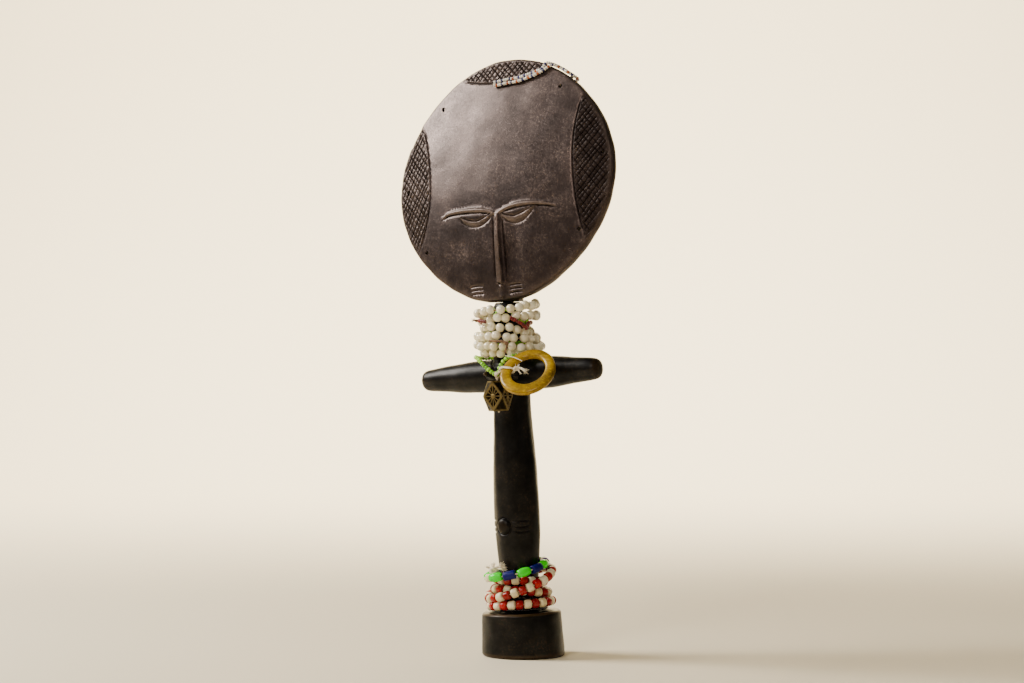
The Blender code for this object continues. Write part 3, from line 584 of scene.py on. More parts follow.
def line_distance(points, line):
    """Distance of each point from a bent line, and how far along it the nearest place is."""
    best = np.full(len(points), 1e9)
    place = np.zeros(len(points))
    count = len(line) - 1
    for i in range(count):
        a, b = line[i], line[i + 1]
        ab = b - a
        t = np.clip(((points - a) @ ab) / max(ab @ ab, 1e-9), 0, 1)
        d = np.hypot(*(points - a - t[:, None] * ab).T)
        near = d < best
        best[near] = d[near]
        place[near] = (i + t[near]) / count
    return best, place


def face_relief(points, cuts):
    """Height of the carving above the plain disc, with its cut and worn shares."""
    u, v = points[:, 0], points[:, 1]
    height = np.zeros(len(points))
    wear = np.zeros(len(points))
    # nose: a long narrow prism with a blunt end, and the low strip of mouth and chin under it
    t = np.clip((NOSE_TOP_V - v) / (NOSE_TOP_V - NOSE_END_V), 0, 1)
    half = NOSE_TOP_HALF + (NOSE_END_HALF - NOSE_TOP_HALF) * t
    flank = np.clip((half - np.abs(u)) / 1.0, 0, 1)
    nose = flank * (1.6 + 1.1 * rounded(t * 3)) * rounded((NOSE_TOP_V + 1.5 - v) / 3.0)
    nose = nose * (v > NOSE_END_V - 0.4)
    strip = np.clip((1.9 - np.abs(u)) / 0.8, 0, 1) * 1.0
    strip = strip * ((v < MOUTH_TOP_V) & (v > MOUTH_END_V)) * (1 - 0.7 * (np.abs(v + 69.0) < 0.7))
    height += nose + strip
    wear = np.maximum(wear, 0.35 * (flank > 0.9) * (nose > 0.6))
    for side in (-1, 1):
        d, along = line_distance(points, flat_route(BROWS[side]))
        wide = 0.30 + 1.3 * np.sin(np.pi * np.clip(0.12 + 0.86 * along, 0, 1)) ** 0.7
        ridge = np.clip(1 - (d / wide) ** 2, 0, 1) ** 0.6
        height = np.maximum(height, 1.5 * ridge * wide / 1.6)
        wear = np.maximum(wear, 0.45 * (ridge > 0.6))
        # the closed lid: a smooth lens over the crease, a rounded band under it
        brow, crease = np.array(BROWS[side])[::side], np.array(CREASES[side])[::side]
        lid = np.array(LIDS[side])[::side]
        top = np.interp(u, brow[:, 0], brow[:, 1]) - 1.8
        fold = np.interp(u, crease[:, 0], crease[:, 1])
        low = np.interp(u, lid[:, 0], lid[:, 1])
        across = (u * side > 3.4) & (u * side < 29.0)
        ball = np.clip((top - v) / np.maximum(top - fold, 0.5), 0, 1)
        height += 0.55 * np.sin(np.pi * ball) ** 0.6 * ((v < top) & (v > fold) & across)
        band = np.clip((fold - v) / np.maximum(fold - low, 0.5), 0, 1)
        rim = np.sin(np.pi * band) ** 0.6 * ((v < fold) & (v > low) & across)
        height += 0.95 * rim
        wear = np.maximum(wear, 0.4 * (rim > 0.6))
        # hollow of the eye socket and the cheek beside the nose
        height -= 0.5 * np.exp(-(((u * side - 15) / 15) ** 2 + ((v + 29) / 7) ** 2))
        height -= 0.9 * np.exp(-(((u * side - 10) / 7) ** 2 + ((v + 46) / 17) ** 2))
    carve = np.zeros(len(points))
    for line, depth, half_width in cuts:
        low, high = line.min(0) - half_width, line.max(0) + half_width
        near = np.flatnonzero(((points >= low) & (points <= high)).all(1))
        if not len(near):
            continue
        d, along = line_distance(points[near], line)
        fade = np.clip(np.minimum(along, 1 - along) * 12, 0.25, 1)
        dip = np.clip(1 - d / half_width, 0, 1) * fade
        carve[near] = np.maximum(carve[near], dip * depth)
    height -= carve
    return height, np.clip(carve / 0.6, 0, 1), wear


def circle_points(centre, radius, count):
    """Points round a hole, in order."""
    a = np.arange(count) * 2 * math.pi / count
    return np.stack([centre[0] + radius * np.cos(a), centre[1] + radius * np.sin(a)], 1)


def disc_sheet(fill_step, lines, hole_sides):
    """A flat triangulation of the disc that keeps the given lines, its edge and its holes."""
    angles = np.arange(EDGE_POINTS) * 2 * math.pi / EDGE_POINTS
    reach = head_outline(angles) - EDGE_INSET
    edge = np.stack([reach * np.sin(angles), -reach * np.cos(angles)], 1)
    points, edges = [edge], [(i, (i + 1) % EDGE_POINTS) for i in range(EDGE_POINTS)]
    total = EDGE_POINTS
    for centre in HEAD_HOLES:
        points.append(circle_points(centre, HEAD_HOLE_R, hole_sides))
        edges += [(total + i, total + (i + 1) % hole_sides) for i in range(hole_sides)]
        total += hole_sides
    holes = np.array(HEAD_HOLES)

    def clear_of_holes(pts, room):
        return (np.hypot(*(pts[:, None, :] - holes[None]).transpose(2, 0, 1)) > room).all(1)

    for line, _depth, half_width in lines:
        step = np.gradient(line, axis=0)
        step /= np.maximum(np.hypot(*step.T), 1e-9)[:, None]
        aside = np.stack([-step[:, 1], step[:, 0]], 1)
        for offset in (-half_width, 0.0, half_width):
            pts = line + aside * offset
            keep = (clear_of_holes(pts, HEAD_HOLE_R + 0.5)
                    & (edge_share(pts[:, 0], pts[:, 1]) < 1 - (EDGE_INSET + 0.3) / HEAD_R))
            ids = np.flatnonzero(keep)
            if len(ids) < 2:
                continue
            for run in np.split(ids, np.flatnonzero(np.diff(ids) > 1) + 1):
                if len(run) < 2:
                    continue
                points.append(pts[run])
                edges += [(total + i, total + i + 1) for i in range(len(run) - 1)]
                total += len(run)
    rows = np.arange(-HEAD_R, HEAD_R, fill_step * 0.866)
    fill = np.array([(x + (r % 2) * fill_step / 2, y) for r, y in enumerate(rows)
                     for x in np.arange(-HEAD_R, HEAD_R, fill_step)])
    fill = fill[(edge_share(fill[:, 0], fill[:, 1]) < 1 - (EDGE_INSET + 0.8) / HEAD_R)
                & clear_of_holes(fill, HEAD_HOLE_R + 1.3)]
    points += [circle_points(hole, HEAD_HOLE_R + 0.65, hole_sides) for hole in HEAD_HOLES]
    points.append(fill)
    flat = [Vector(p) for p in np.concatenate(points)]
    verts, _e, tris, origin, _oe, _of = delaunay_2d_cdt(flat, edges, [], 1, 1e-5)
    verts = np.array([(p.x, p.y) for p in verts])
    tris = np.array([t for t in tris if len(t) == 3])
    middle = verts[tris].mean(1)
    tris = tris[clear_of_holes(middle, HEAD_HOLE_R * 0.93)]
    where = {}
    for new, olds in enumerate(origin):
        for old in olds:
            where[old] = new
    edge_ids = [where[i] for i in range(EDGE_POINTS)]
    hole_ids = [[where[EDGE_POINTS + h * hole_sides + i] for i in range(hole_sides)]
                for h in range(len(HEAD_HOLES))]
    return verts, tris, edge_ids, hole_ids


def build_head(mats):
    """The disc head: carved face, pierced edge, plain back and neck boss, as one closed shell."""
    cuts = border_lines() + hatch_lines() + face_lines()
    guide = list(cuts)
    for side in (-1, 1):
        guide.append((flat_route(BROWS[side], 8), 0, 1.5))
        guide.append((flat_route(BROWS[side], 8), 0, 0.8))
        guide.append((flat_route([(u, v - 1.5) for u, v in CREASES[side]], 8), 0, 0.8))
        for offset in (1.3, 2.3):
            guide.append((np.stack([np.full(44, side * offset), np.linspace(-20, -63, 44)], 1),
                          0, 0.25))
    for v in (NOSE_END_V, MOUTH_TOP_V, MOUTH_END_V):
        guide.append((np.stack([np.linspace(-3.2, 3.2, 9), np.full(9, v)], 1), 0, 0.3))
    front, front_tris, front_edge, front_holes = disc_sheet(2.1, guide, 18)
    height, carve, wear = face_relief(front, cuts)
    front_w = front_depth(front[:, 0], front[:, 1]) - height
    front_w += wobble(np.c_[front, np.zeros(len(front))], 16, 0.22)
    rim_fade = rounded((edge_share(front[:, 0], front[:, 1]) - 0.93) / 0.05)
    wear = np.maximum(wear, 0.15 * rim_fade)
    dull = np.zeros(len(front))
    for zone, share in HATCH_DULLNESS_AND_SHADE.items():
        inside = hatch_zone(zone, front[:, 0], front[:, 1]) > 0
        dull = np.maximum(dull, share * inside)
        # less worn colour where the share is larger: the right zone's flats are painted darker as painted
        # shade
        wear = np.maximum(wear, (0.28 - 0.22 * share) * inside * (carve < 0.1))

    back, back_tris, back_edge, back_holes = disc_sheet(3.0, [], 18)
    back_w = back_depth(back[:, 0], back[:, 1])
    back_w += wobble(np.c_[back, np.full(len(back), 9.0)], 14, 0.3, 4.0)

    points = [np.c_[front[:, 0], front_w, front[:, 1]], np.c_[back[:, 0], back_w, back[:, 1]]]
    faces = [tuple(t) for t in front_tris] + [tuple(t[::-1] + len(front)) for t in back_tris]
    start = len(front) + len(back)
    angles = np.arange(EDGE_POINTS) * 2 * math.pi / EDGE_POINTS
    edge_front = front_w[front_edge]
    edge_back = back_w[back_edge]
    rings = []
    for inset, share in ((0.75, 0.05), (0.28, 0.16), (0.05, 0.32), (0.0, 0.50), (0.08, 0.70),
                         (0.40, 0.86), (0.90, 0.96)):
        reach = head_outline(angles) - inset
        reach += 0.18 * np.sin(angles * 23) * np.sin(angles * 7 + 1)
        w = edge_front + (edge_back - edge_front) * share
        rings.append(np.c_[reach * np.sin(angles), w, -reach * np.cos(angles)])
    points += rings
    ring_ids = [front_edge]
    for r in range(len(rings)):
        ring_ids.append([start + r * EDGE_POINTS + i for i in range(EDGE_POINTS)])
    ring_ids.append([i + len(front) for i in back_edge])
    for a, b in zip(ring_ids, ring_ids[1:]):
        faces += [(a[i], a[(i + 1) % EDGE_POINTS], b[(i + 1) % EDGE_POINTS], b[i])
                  for i in range(EDGE_POINTS)]
    for one, two in zip(front_holes, back_holes):
        count = len(one)
        faces += [(one[i], one[(i + 1) % count], two[(i + 1) % count] + len(front),
                   two[i] + len(front)) for i in range(count)]
    pts = from_head(np.concatenate(points))
    pts[:, 2] = np.maximum(pts[:, 2], UNDERSIDE_Z)
    rest = len(pts) - len(front)
    carve = np.concatenate([carve, np.zeros(rest)])
    wear = np.concatenate([wear, np.full(len(back), 0.04), np.full(rest - len(back), 0.1)])
    # the carve share also darkens the bottoms of the cuts in the shader: painted shade
    head = make_piece("carved_disc_head", pts, faces, [mats["head_wood"]], sharp=62, carve=carve,
                      wear=wear, dull=np.concatenate([dull, np.zeros(rest)]))
    settle(head, "figure", "worn_wood", "head_plate")


# ------------------------------------------------------------------ body, arms and base

BODY_PROFILE = [(11.4, 28.8), (11.4, 45.0), (12.2, 54.0), (13.1, 61.5), (14.3, 78.0),
                (14.5, 88.0), (14.3, 103.0), (13.8, 120.0), (12.7, 138.0), (11.9, 153.0),
                (11.7, 161.0), (12.3, 170.0), (12.5, 178.0), (12.0, 184.0), (10.3, 187.4),
                (10.0, 190.0), (9.9, 205.0), (9.0, 223.2)]
NAVEL_Z = 82.7
NAVEL_ASIDE = -1.5
BREAST_X = 8.4
BREAST_Z = 178.8
BREAST_SEAT = 9.2              # the breasts stand on a flat this far in front of the axis
ARM_Z = 177.5
ARM_ROLL = math.radians(1.7)
ARM_REACH = 66.0


def body_radius(z):
    """Radius of the turned body at a height, eased between the profile's points."""
    heights = [p[1] for p in BODY_PROFILE]
    radii = [p[0] for p in BODY_PROFILE]
    z = np.asarray(z, float)
    return sum(np.interp(z + d, heights, radii) for d in (-2.4, -1.2, 0, 1.2, 2.4)) / 5


def body_cuts():
    """Cuts round the navel, on the unrolled front: (x, z) millimetres."""
    cuts = []
    ring = [(NAVEL_ASIDE + 5.3 * math.cos(a), NAVEL_Z + 5.3 * math.sin(a))
            for a in np.linspace(0, 2 * math.pi, 33)]
    cuts.append((np.array(ring), 0.75, 0.8))
    for side in (-1, 1):
        for k, lift in enumerate((3.3, 0.1, -3.1)):
            inner, outer = (6.0 if k == 0 else 7.2), 17.0 + 0.5 * k
            line = [(NAVEL_ASIDE + side * x, NAVEL_Z + lift
                     - 0.9 * math.sin(math.pi * (x - inner) / (outer - inner)) * (k > 0))
                    for x in np.linspace(inner, outer, 14)]
            cuts.append((np.array(line), 0.75, 0.75))
    return cuts


def build_body(mats):
    """Foot, belly, chest and neck with breasts, navel and the cuts beside it."""
    z = np.unique(np.concatenate([
        np.arange(28.8, 223.2, 1.4), np.arange(75.5, 90.5, 0.28), np.arange(172.0, 186.0, 0.4),
        [28.8, 223.2]]))
    front = np.linspace(-75, 75, 150)
    rest = np.linspace(75, 285, 62)[1:-1]
    heading = np.radians(np.concatenate([front, rest]))      # 0 looks to the front
    zz, hh = np.meshgrid(z, heading, indexing="ij")
    radius = body_radius(zz)
    rough = wobble(np.stack([np.sin(hh) * 14, -np.cos(hh) * 14, zz], -1).reshape(-1, 3), 11, 0.22)
    facet = 0.10 * np.sin(hh * 9 + zz * 0.05) * rounded((170 - zz) / 20)
    radius = radius + rough.reshape(radius.shape) + facet
    flat = np.stack([(hh * 14.4).ravel(), zz.ravel()], 1)
    carve = np.zeros(len(flat))
    for line, depth, half_width in body_cuts():
        low, high = line.min(0) - half_width, line.max(0) + half_width
        near = np.flatnonzero(((flat >= low) & (flat <= high)).all(1))
        d, along = line_distance(flat[near], line)
        ends = np.clip(np.minimum(along, 1 - along) * 8, 0.35, 1) if len(line) < 20 else 1.0
        carve[near] = np.maximum(carve[near], np.clip(1 - d / half_width, 0, 1) * depth * ends)
    carve = carve.reshape(radius.shape)
    centre_d = np.hypot(hh * 14.4 - NAVEL_ASIDE, zz - NAVEL_Z)
    navel = 1.9 * np.clip(1 - (centre_d / 4.7) ** 2, 0, 1) ** 0.6
    radius = radius - carve + navel
    foot = rounded((zz - 28.8) / 1.2)
    top = rounded((223.2 - zz) / 2.4)
    radius = radius - 0.8 * (1 - foot) - 1.6 * (1 - top)
    x = np.sin(hh) * radius
    y = -np.cos(hh) * radius
    wear = 0.1 * (navel > 1.2)
    for side in (-1, 1):
        d = np.hypot(x - side * BREAST_X, zz - BREAST_Z)
        facing = np.cos(hh) > 0.15
        cone = 7.6 * (1 - rounded(d / 5.6)) ** 0.9 + 1.6 * np.clip(1 - (d / 1.35) ** 4, 0, 1)
        reach = np.where(facing, cone, 0)
        y = np.where(reach > 0.02, np.minimum(y, -BREAST_SEAT) - reach * 0.98, y)
        wear = np.maximum(wear, 0.5 * (reach > 6.5))
    rows, columns = radius.shape
    pts = np.stack([x, y, zz], -1).reshape(-1, 3)
    faces = grid_faces(rows, columns)
    low, high = len(pts), len(pts) + 1
    pts = np.concatenate([pts, [(0, 0, 28.8), (0, 0, 223.2)]])
    last = (rows - 1) * columns
    faces += [(low, (c + 1) % columns, c) for c in range(columns)]
    faces += [(high, last + c, last + (c + 1) % columns) for c in range(columns)]
    # the carve share also darkens the bottoms of the navel cuts in the shader: painted shade
    body = make_piece("turned_body", pts, faces, [mats["dark_wood"]],
                      carve=np.append(np.clip(carve.ravel() / 0.7, 0, 1), (0, 0)),
                      wear=np.append(wear.ravel(), (0, 0)))
    settle(body, "figure", "dark_wood", "torso")


def build_arms(mats):
    """Two tapering arms, each scribed to the chest."""
    for side, name, node in ((1, "left_arm", "arm_left"), (-1, "right_arm", "arm_right")):
        turn = np.linspace(0, 2 * math.pi, 72, endpoint=False)
        stations = [(10.7, 0.0), (10.3, 0.03), (10.15, 0.10), (10.1, 0.22), (9.9, 0.34),
                    (9.4, 0.46), (8.8, 0.58), (8.1, 0.70), (7.5, 0.80), (7.1, 0.87),
                    (6.75, 0.92), (6.4, 0.955), (5.7, 0.978), (4.4, 0.992), (2.2, 1.0)]
        shares = np.array([s for _r, s in stations])
        fine = np.unique(np.concatenate([np.linspace(0, 0.9, 60), shares]))
        rows = []
        for share in fine:
            r = np.interp(share, shares, [r for r, _s in stations])
            cy, cz = np.cos(turn) * r, np.sin(turn) * r
            seat = np.sqrt(np.maximum((body_radius(ARM_Z + cz * 0.9) + 0.28) ** 2 - cy ** 2, 1.0))
            x = seat + (ARM_REACH - seat) * share
            rows.append(np.stack([x, cy, cz], 1))
        pts = np.concatenate(rows)
        pts[:, 1:] *= 1 + wobble(pts * (side, 1, 1), 13, 0.035, side * 3.0)[:, None]
        columns = len(turn)
        faces = grid_faces(len(fine), columns)
        root = np.array([[5.0, 0, 0]])
        tip = np.array([[ARM_REACH, 0, 0]])
        pts = np.concatenate([pts, root, tip])
        a, b = len(pts) - 2, len(pts) - 1
        last = (len(fine) - 1) * columns
        faces += [(a, (c + 1) % columns, c) for c in range(columns)]
        faces += [(b, last + c, last + (c + 1) % columns) for c in range(columns)]
        wear = np.append(np.repeat(0.2 * rounded((fine - 0.93) / 0.05), columns), (0, 0.2))
        pts = pts * (side, 1, 1)
        roll = np.array(Matrix.Rotation(-ARM_ROLL, 3, "Y"))
        pts = pts @ roll.T + (0, 0, ARM_Z)
        arm = make_piece(name, pts, faces, [mats["dark_wood"]], wear=wear,
                         carve=np.zeros(len(pts)))
        settle(arm, "figure", "dark_wood", node)


def build_base(mats):
    """The squat block: rounded shoulders, level underside and a little hand unevenness."""
    columns = 120
    turn = np.linspace(0, 2 * math.pi, columns, endpoint=False)
    profile = [(8.0, 28.5), (11.0, 28.55), (16.0, 28.5), (20.0, 28.4), (22.2, 28.2)]
    profile += [(23.0 + 2.1 * math.sin(a), 26.2 + 2.0 * math.cos(a))
                for a in np.radians((12, 28, 45, 62, 78, 90))]
    profile += [(25.1 + 1.1 * (26.2 - z) / 26.2, z) for z in np.arange(24.0, 2.6, -1.6)]
    profile += [(24.4 + 1.75 * math.cos(a), 2.2 - 2.2 * math.sin(a))
                for a in np.radians((0, 22, 45, 66, 84))]
    rows = []
    for r, z in profile:
        rows.append(np.stack([r * np.cos(turn), r * np.sin(turn), np.full(columns, z)], 1))
    pts = np.concatenate(rows)
    side_share = rounded((pts[:, 2] - 1.0) / 4) * rounded((27.5 - pts[:, 2]) / 3)
    push = wobble(pts, 9, 0.30, 2.0) * side_share
    pts[:, :2] *= (1 + push / 25)[:, None]
    world = to_world(pts) / MM
    level = world[:, 2]
    # the lowest rings follow the level underside, not the leaning axis
    ease = rounded((pts[:, 2]) / 10)
    world[:, 2] = level * ease + pts[:, 2] * (1 - ease)
    world[:, 2] = np.maximum(world[:, 2], 0.0)
    pts = world @ np.array(FIGURE.to_3x3())
    faces = grid_faces(len(profile), columns)
    ends = np.array([(0, 0, 28.5), (0, 0, 0)])
    pts = np.concatenate([pts, ends])
    a, b = len(pts) - 2, len(pts) - 1
    last = (len(profile) - 1) * columns
    faces += [(a, c, (c + 1) % columns) for c in range(columns)]
    faces += [(b, last + (c + 1) % columns, last + c) for c in range(columns)]
    wear = np.zeros(len(pts))
    wear[5 * columns:9 * columns] = 0.45
    wear[-(5 * columns + 2):-2] = 0.35
    base = make_piece("foot_block", pts, faces, [mats["dark_wood"]], wear=wear,
                      carve=np.zeros(len(pts)))
    settle(base, "figure", "dark_wood", "base_block")


# ------------------------------------------------------------------ beads on strings

# spacing of the beads along each kind of strand
PEARL_PITCH = 5.8
LIME_PITCH = 2.3
LIME_PENDANT_PITCH = 2.32
CORAL_PITCH = 1.36
PONY_PITCH = 4.95
LONG_PITCH = 8.6
CREAM_END_PITCH = 4.4
DARK_PITCH = 1.95
TINY_PITCH = 1.36


class Winding:
    """One turn of a strand round the body, as in the frame.

    Its height and radius follow a ring that is tilted (rise), waved (dip), set off centre (shift)
    and drawn oval.  Each comes with the heading, in degrees from +X, where it is greatest.
    """

    def __init__(self, height, radius, rise=(0, 0), dip=(0, 0), shift=(0, 0), oval=(0, 0)):
        self.height, self.radius = height, radius
        self.rise, self.dip, self.shift, self.oval = rise, dip, shift, oval

    def point(self, heading):
        def wave(term, times):
            return term[0] * math.cos(times * (heading - math.radians(term[1])))
        r = self.radius + wave(self.shift, 1) + wave(self.oval, 2)
        z = self.height + wave(self.rise, 1) + wave(self.dip, 2)
        return Vector((r * math.cos(heading), r * math.sin(heading), z))

    def route(self, start=0.0, steps=160):
        return [self.point(math.radians(start) + 2 * math.pi * i / steps) for i in range(steps)]


NECK_PEARLS = {
    "pearl_strand_a": Winding(218.9, 18.7, rise=(2.6, 25), dip=(0.3, 84), shift=(0.5, 200)),
    "pearl_strand_b": Winding(213.0, 16.8, rise=(1.9, 10), dip=(0.4, 112), shift=(1.0, 25),
                              oval=(0.5, 34)),
    "pearl_strand_c": Winding(206.3, 15.6, rise=(1.3, 203), dip=(1.2, 97), shift=(0.8, 203),
                              oval=(1.3, 99)),
    "pearl_strand_d": Winding(201.3, 18.6, rise=(1.5, 195), dip=(0.7, 90), shift=(1.1, 185),
                              oval=(0.4, 90)),
    "pearl_strand_e": Winding(195.6, 19.5, rise=(1.1, 198), dip=(0.5, 84)),
    "pearl_strand_f": Winding(191.8, 15.0, shift=(1.0, 204), oval=(0.3, 81)),
}
NECK_GREENS = {
    "green_strand_upper": Winding(209.3, 12.2, rise=(6.2, -13), dip=(6.7, 100)),
    "green_strand_lower": Winding(195.9, 13.5, rise=(1.2, 5), dip=(0.9, 119), shift=(0.8, 30),
                                  oval=(0.7, 98)),
}
# heading, radius and height along the coral strand, from its start under a pearl to its tied end
CORAL_ROUTE = [(-50, 17.4, 212.9), (-44, 19.4, 211.6), (-36, 20.3, 210.0), (-28, 20.0, 207.9),
               (-20, 18.8, 206.4), (-12, 16.6, 207.6), (0, 14.8, 209.4), (25, 14.4, 210.0),
               (60, 14.5, 209.2), (95, 14.6, 208.9), (130, 14.5, 209.0), (160, 14.8, 209.0),
               (182, 15.2, 209.4), (205, 15.6, 210.2), (225, 17.0, 211.2), (238, 19.6, 212.0),
               (248, 22.0, 212.3), (256, 22.4, 211.9), (262, 22.2, 211.5)]
PONY_STARTS = (0, 0, 4, -8)        # headings where the bead patterns start
WAIST_PONIES = {
    "red_white_strand_a": Winding(33.2, 19.4, rise=(1.1, -10)),
    "red_white_strand_b": Winding(45.3, 20.7, rise=(8.2, 52), dip=(0.5, 77), oval=(0.3, -45)),
    "red_white_strand_c": Winding(41.5, 15.7, rise=(1.8, 223), dip=(0.3, 112), shift=(0.4, 45),
                                  oval=(1.1, 40)),
    "red_white_strand_d": Winding(47.7, 14.8, rise=(1.6, 235), dip=(0.4, -45)),
}
WAIST_LONG = Winding(54.0, 19.3, rise=(4.2, 37), dip=(0.5, -108), shift=(3.1, 214))
WAIST_DARK = {
    "black_strand_a": Winding(30.2, 15.5, shift=(0.4, 14), oval=(0.3, -36)),
    "black_strand_b": Winding(37.7, 13.1, rise=(1.7, 216), dip=(0.5, 56)),
}


def bead_shape(name, profile, sides, ribs=0.0):
    """A bead turned about Z from (radius, height) points, hole included; metres."""
    turn = np.linspace(0, 2 * math.pi, sides, endpoint=False)
    rows = []
    for k, (r, z) in enumerate(profile):
        swell = 1 + ribs * np.cos(turn * sides / 2) * (r > 1.6)
        rows.append(np.stack([r * swell * np.cos(turn), r * swell * np.sin(turn),
                              np.full(sides, z)], 1))
    mesh = bpy.data.meshes.new(name)
    mesh.from_pydata([tuple(p * MM) for p in np.concatenate(rows)], [],
                     grid_faces(len(profile), sides, True, True))
    bm = bmesh.new()
    bm.from_mesh(mesh)
    bmesh.ops.recalc_face_normals(bm, faces=bm.faces)
    bm.to_mesh(mesh)
    bm.free()
    mesh.shade_smooth()
    obj = bpy.data.objects.new(name, mesh)
    bpy.context.collection.objects.link(obj)
    return obj


def drum(radius, half_length, hole, corner, steps=4):
    """A bead's profile: straight side, rounded shoulders and a hole."""
    top = [(radius - corner + corner * math.sin(a), half_length - corner + corner * math.cos(a))
           for a in np.linspace(math.pi / 2, 0, steps)]
    outer = [(r, -z) for r, z in reversed(top)]
    return outer + top + [(hole, half_length * 0.96), (hole, -half_length * 0.96)]


def ball(radius, hole, steps=9):
    """A round bead's profile."""
    angles = np.linspace(-math.acos(hole / radius), math.acos(hole / radius), steps)
    return [(radius * math.cos(a), radius * math.sin(a)) for a in angles]


def barrel(radius, end_radius, half_length, hole, steps=8):
    """A long bead's profile, widest in the middle."""
    side = [(end_radius + (radius - end_radius) * math.cos(math.pi / 2 * t) ** 0.8,
             half_length * t) for t in np.linspace(-1, 1, steps)]
    return side + [(hole, half_length * 0.97), (hole, -half_length * 0.97)]


def make_beads():
    """The single beads that the strands repeat."""
    return {
        "pearl": bead_shape("pearl_bead", ball(2.93, 0.5), 16),
        "pony": bead_shape("pony_bead", drum(2.85, 2.42, 0.9, 1.25), 18),
        "barrel": bead_shape("barrel_bead", barrel(2.95, 2.0, 4.3, 0.9, 10), 20),
        "tube": bead_shape("tube_bead", drum(2.72, 3.95, 1.0, 0.5, 3), 28, ribs=0.018),
        "lime": bead_shape("lime_bead", drum(1.38, 1.02, 0.4, 0.80, 5), 12),
        "tiny": bead_shape("tiny_bead", drum(1.08, 0.64, 0.35, 0.50, 4), 10),
        "chip": bead_shape("chip_bead", drum(1.25, 0.62, 0.4, 0.38, 3), 12),
        "dark": bead_shape("dark_bead", drum(1.3, 0.95, 0.4, 0.6, 3), 12),
    }


def strand_tree(kinds, string):
    """Geometry nodes that thread beads on a line: kinds lists (bead object, material) in order."""
    tree = bpy.data.node_groups.new("strung_beads", "GeometryNodeTree")
    face = tree.interface
    face.new_socket("Line", in_out="INPUT", socket_type="NodeSocketGeometry")
    for label, kind in (("Bead count", "NodeSocketInt"), ("String radius", "NodeSocketFloat"),
                        ("Scatter", "NodeSocketFloat"), ("Tilt", "NodeSocketFloat"),
                        ("Size spread", "NodeSocketFloat"), ("Seed", "NodeSocketInt")):
        face.new_socket(label, in_out="INPUT", socket_type=kind)
    face.new_socket("Strand", in_out="OUTPUT", socket_type="NodeSocketGeometry")
    given = add(tree, "NodeGroupInput")
    line = add(tree, "GeometryNodeMeshToCurve", {"Mesh": given.outputs["Line"]})
    spaced = add(tree, "GeometryNodeResampleCurve", {"Curve": line,
                                                     "Count": given.outputs["Bead count"]})
    tangent = add(tree, "GeometryNodeInputTangent")
    index = add(tree, "GeometryNodeInputIndex")
    seed = given.outputs["Seed"]

    def spread(low, high, salt):
        return add(tree, "FunctionNodeRandomValue",
                   {"Min": low, "Max": high,
                    "Seed": add(tree, "ShaderNodeMath", {0: seed, 1: float(salt)})},
                   data_type="FLOAT_VECTOR")

    jitter = add(tree, "ShaderNodeVectorMath",
                 {0: spread((-1, -1, -1), (1, 1, 1), 1), "Scale": given.outputs["Scatter"]},
                 operation="SCALE")
    facing = add(tree, "FunctionNodeAlignRotationToVector", {"Vector": tangent}, axis="Z")
    rolled = add(tree, "ShaderNodeVectorMath",
                 {0: spread((-1, -1, -9), (1, 1, 9), 2), "Scale": given.outputs["Tilt"]},
                 operation="SCALE")
    turned = add(tree, "FunctionNodeRotateRotation",
                 {"Rotation": facing,
                  "Rotate By": add(tree, "FunctionNodeEulerToRotation", {0: rolled})},
                 rotation_space="LOCAL")
    size = add(tree, "ShaderNodeVectorMath",
               {0: spread((-1, -1, -1), (1, 1, 1), 3), "Scale": given.outputs["Size spread"]},
               operation="SCALE")
    grown = add(tree, "ShaderNodeVectorMath", {0: size, 1: (1, 1, 1)}, operation="ADD")
    tint = add(tree, "FunctionNodeRandomValue", {"Min": 0.0, "Max": 1.0, "Seed": seed})
    moved = add(tree, "GeometryNodeSetPosition", {"Geometry": spaced, "Offset": jitter})
    join = add(tree, "GeometryNodeJoinGeometry")
    for k, (bead, mat) in enumerate(kinds):
        which = add(tree, "FunctionNodeCompare",
                    {"A": add(tree, "ShaderNodeMath", {0: index, 1: float(len(kinds))},
                              operation="MODULO"), "B": float(k), "Epsilon": 0.1},
                    operation="EQUAL")
        shape = add(tree, "GeometryNodeObjectInfo", {"As Instance": True})
        shape.inputs["Object"].default_value = bead
        placed = add(tree, "GeometryNodeInstanceOnPoints",
                     {"Points": moved, "Selection": which, "Instance": shape.outputs["Geometry"],
                      "Rotation": turned, "Scale": grown})
        marked = add(tree, "GeometryNodeStoreNamedAttribute",
                     {"Geometry": placed, "Name": "tint", "Value": tint}, domain="INSTANCE")
        real = add(tree, "GeometryNodeRealizeInstances", {"Geometry": marked})
        coloured = add(tree, "GeometryNodeSetMaterial", {"Geometry": real, "Material": mat})
        tree.links.new(coloured.outputs[0], join.inputs[0])
    ring = add(tree, "GeometryNodeCurvePrimitiveCircle",
               {"Resolution": 6, "Radius": given.outputs["String radius"]})
    cord = add(tree, "GeometryNodeCurveToMesh", {"Curve": line, "Profile Curve": ring,
                                                 "Fill Caps": True})
    cord_mat = add(tree, "GeometryNodeSetMaterial", {"Geometry": cord, "Material": string})
    tree.links.new(cord_mat.outputs[0], join.inputs[0])
    add(tree, "NodeGroupOutput", {"Strand": join})
    return tree


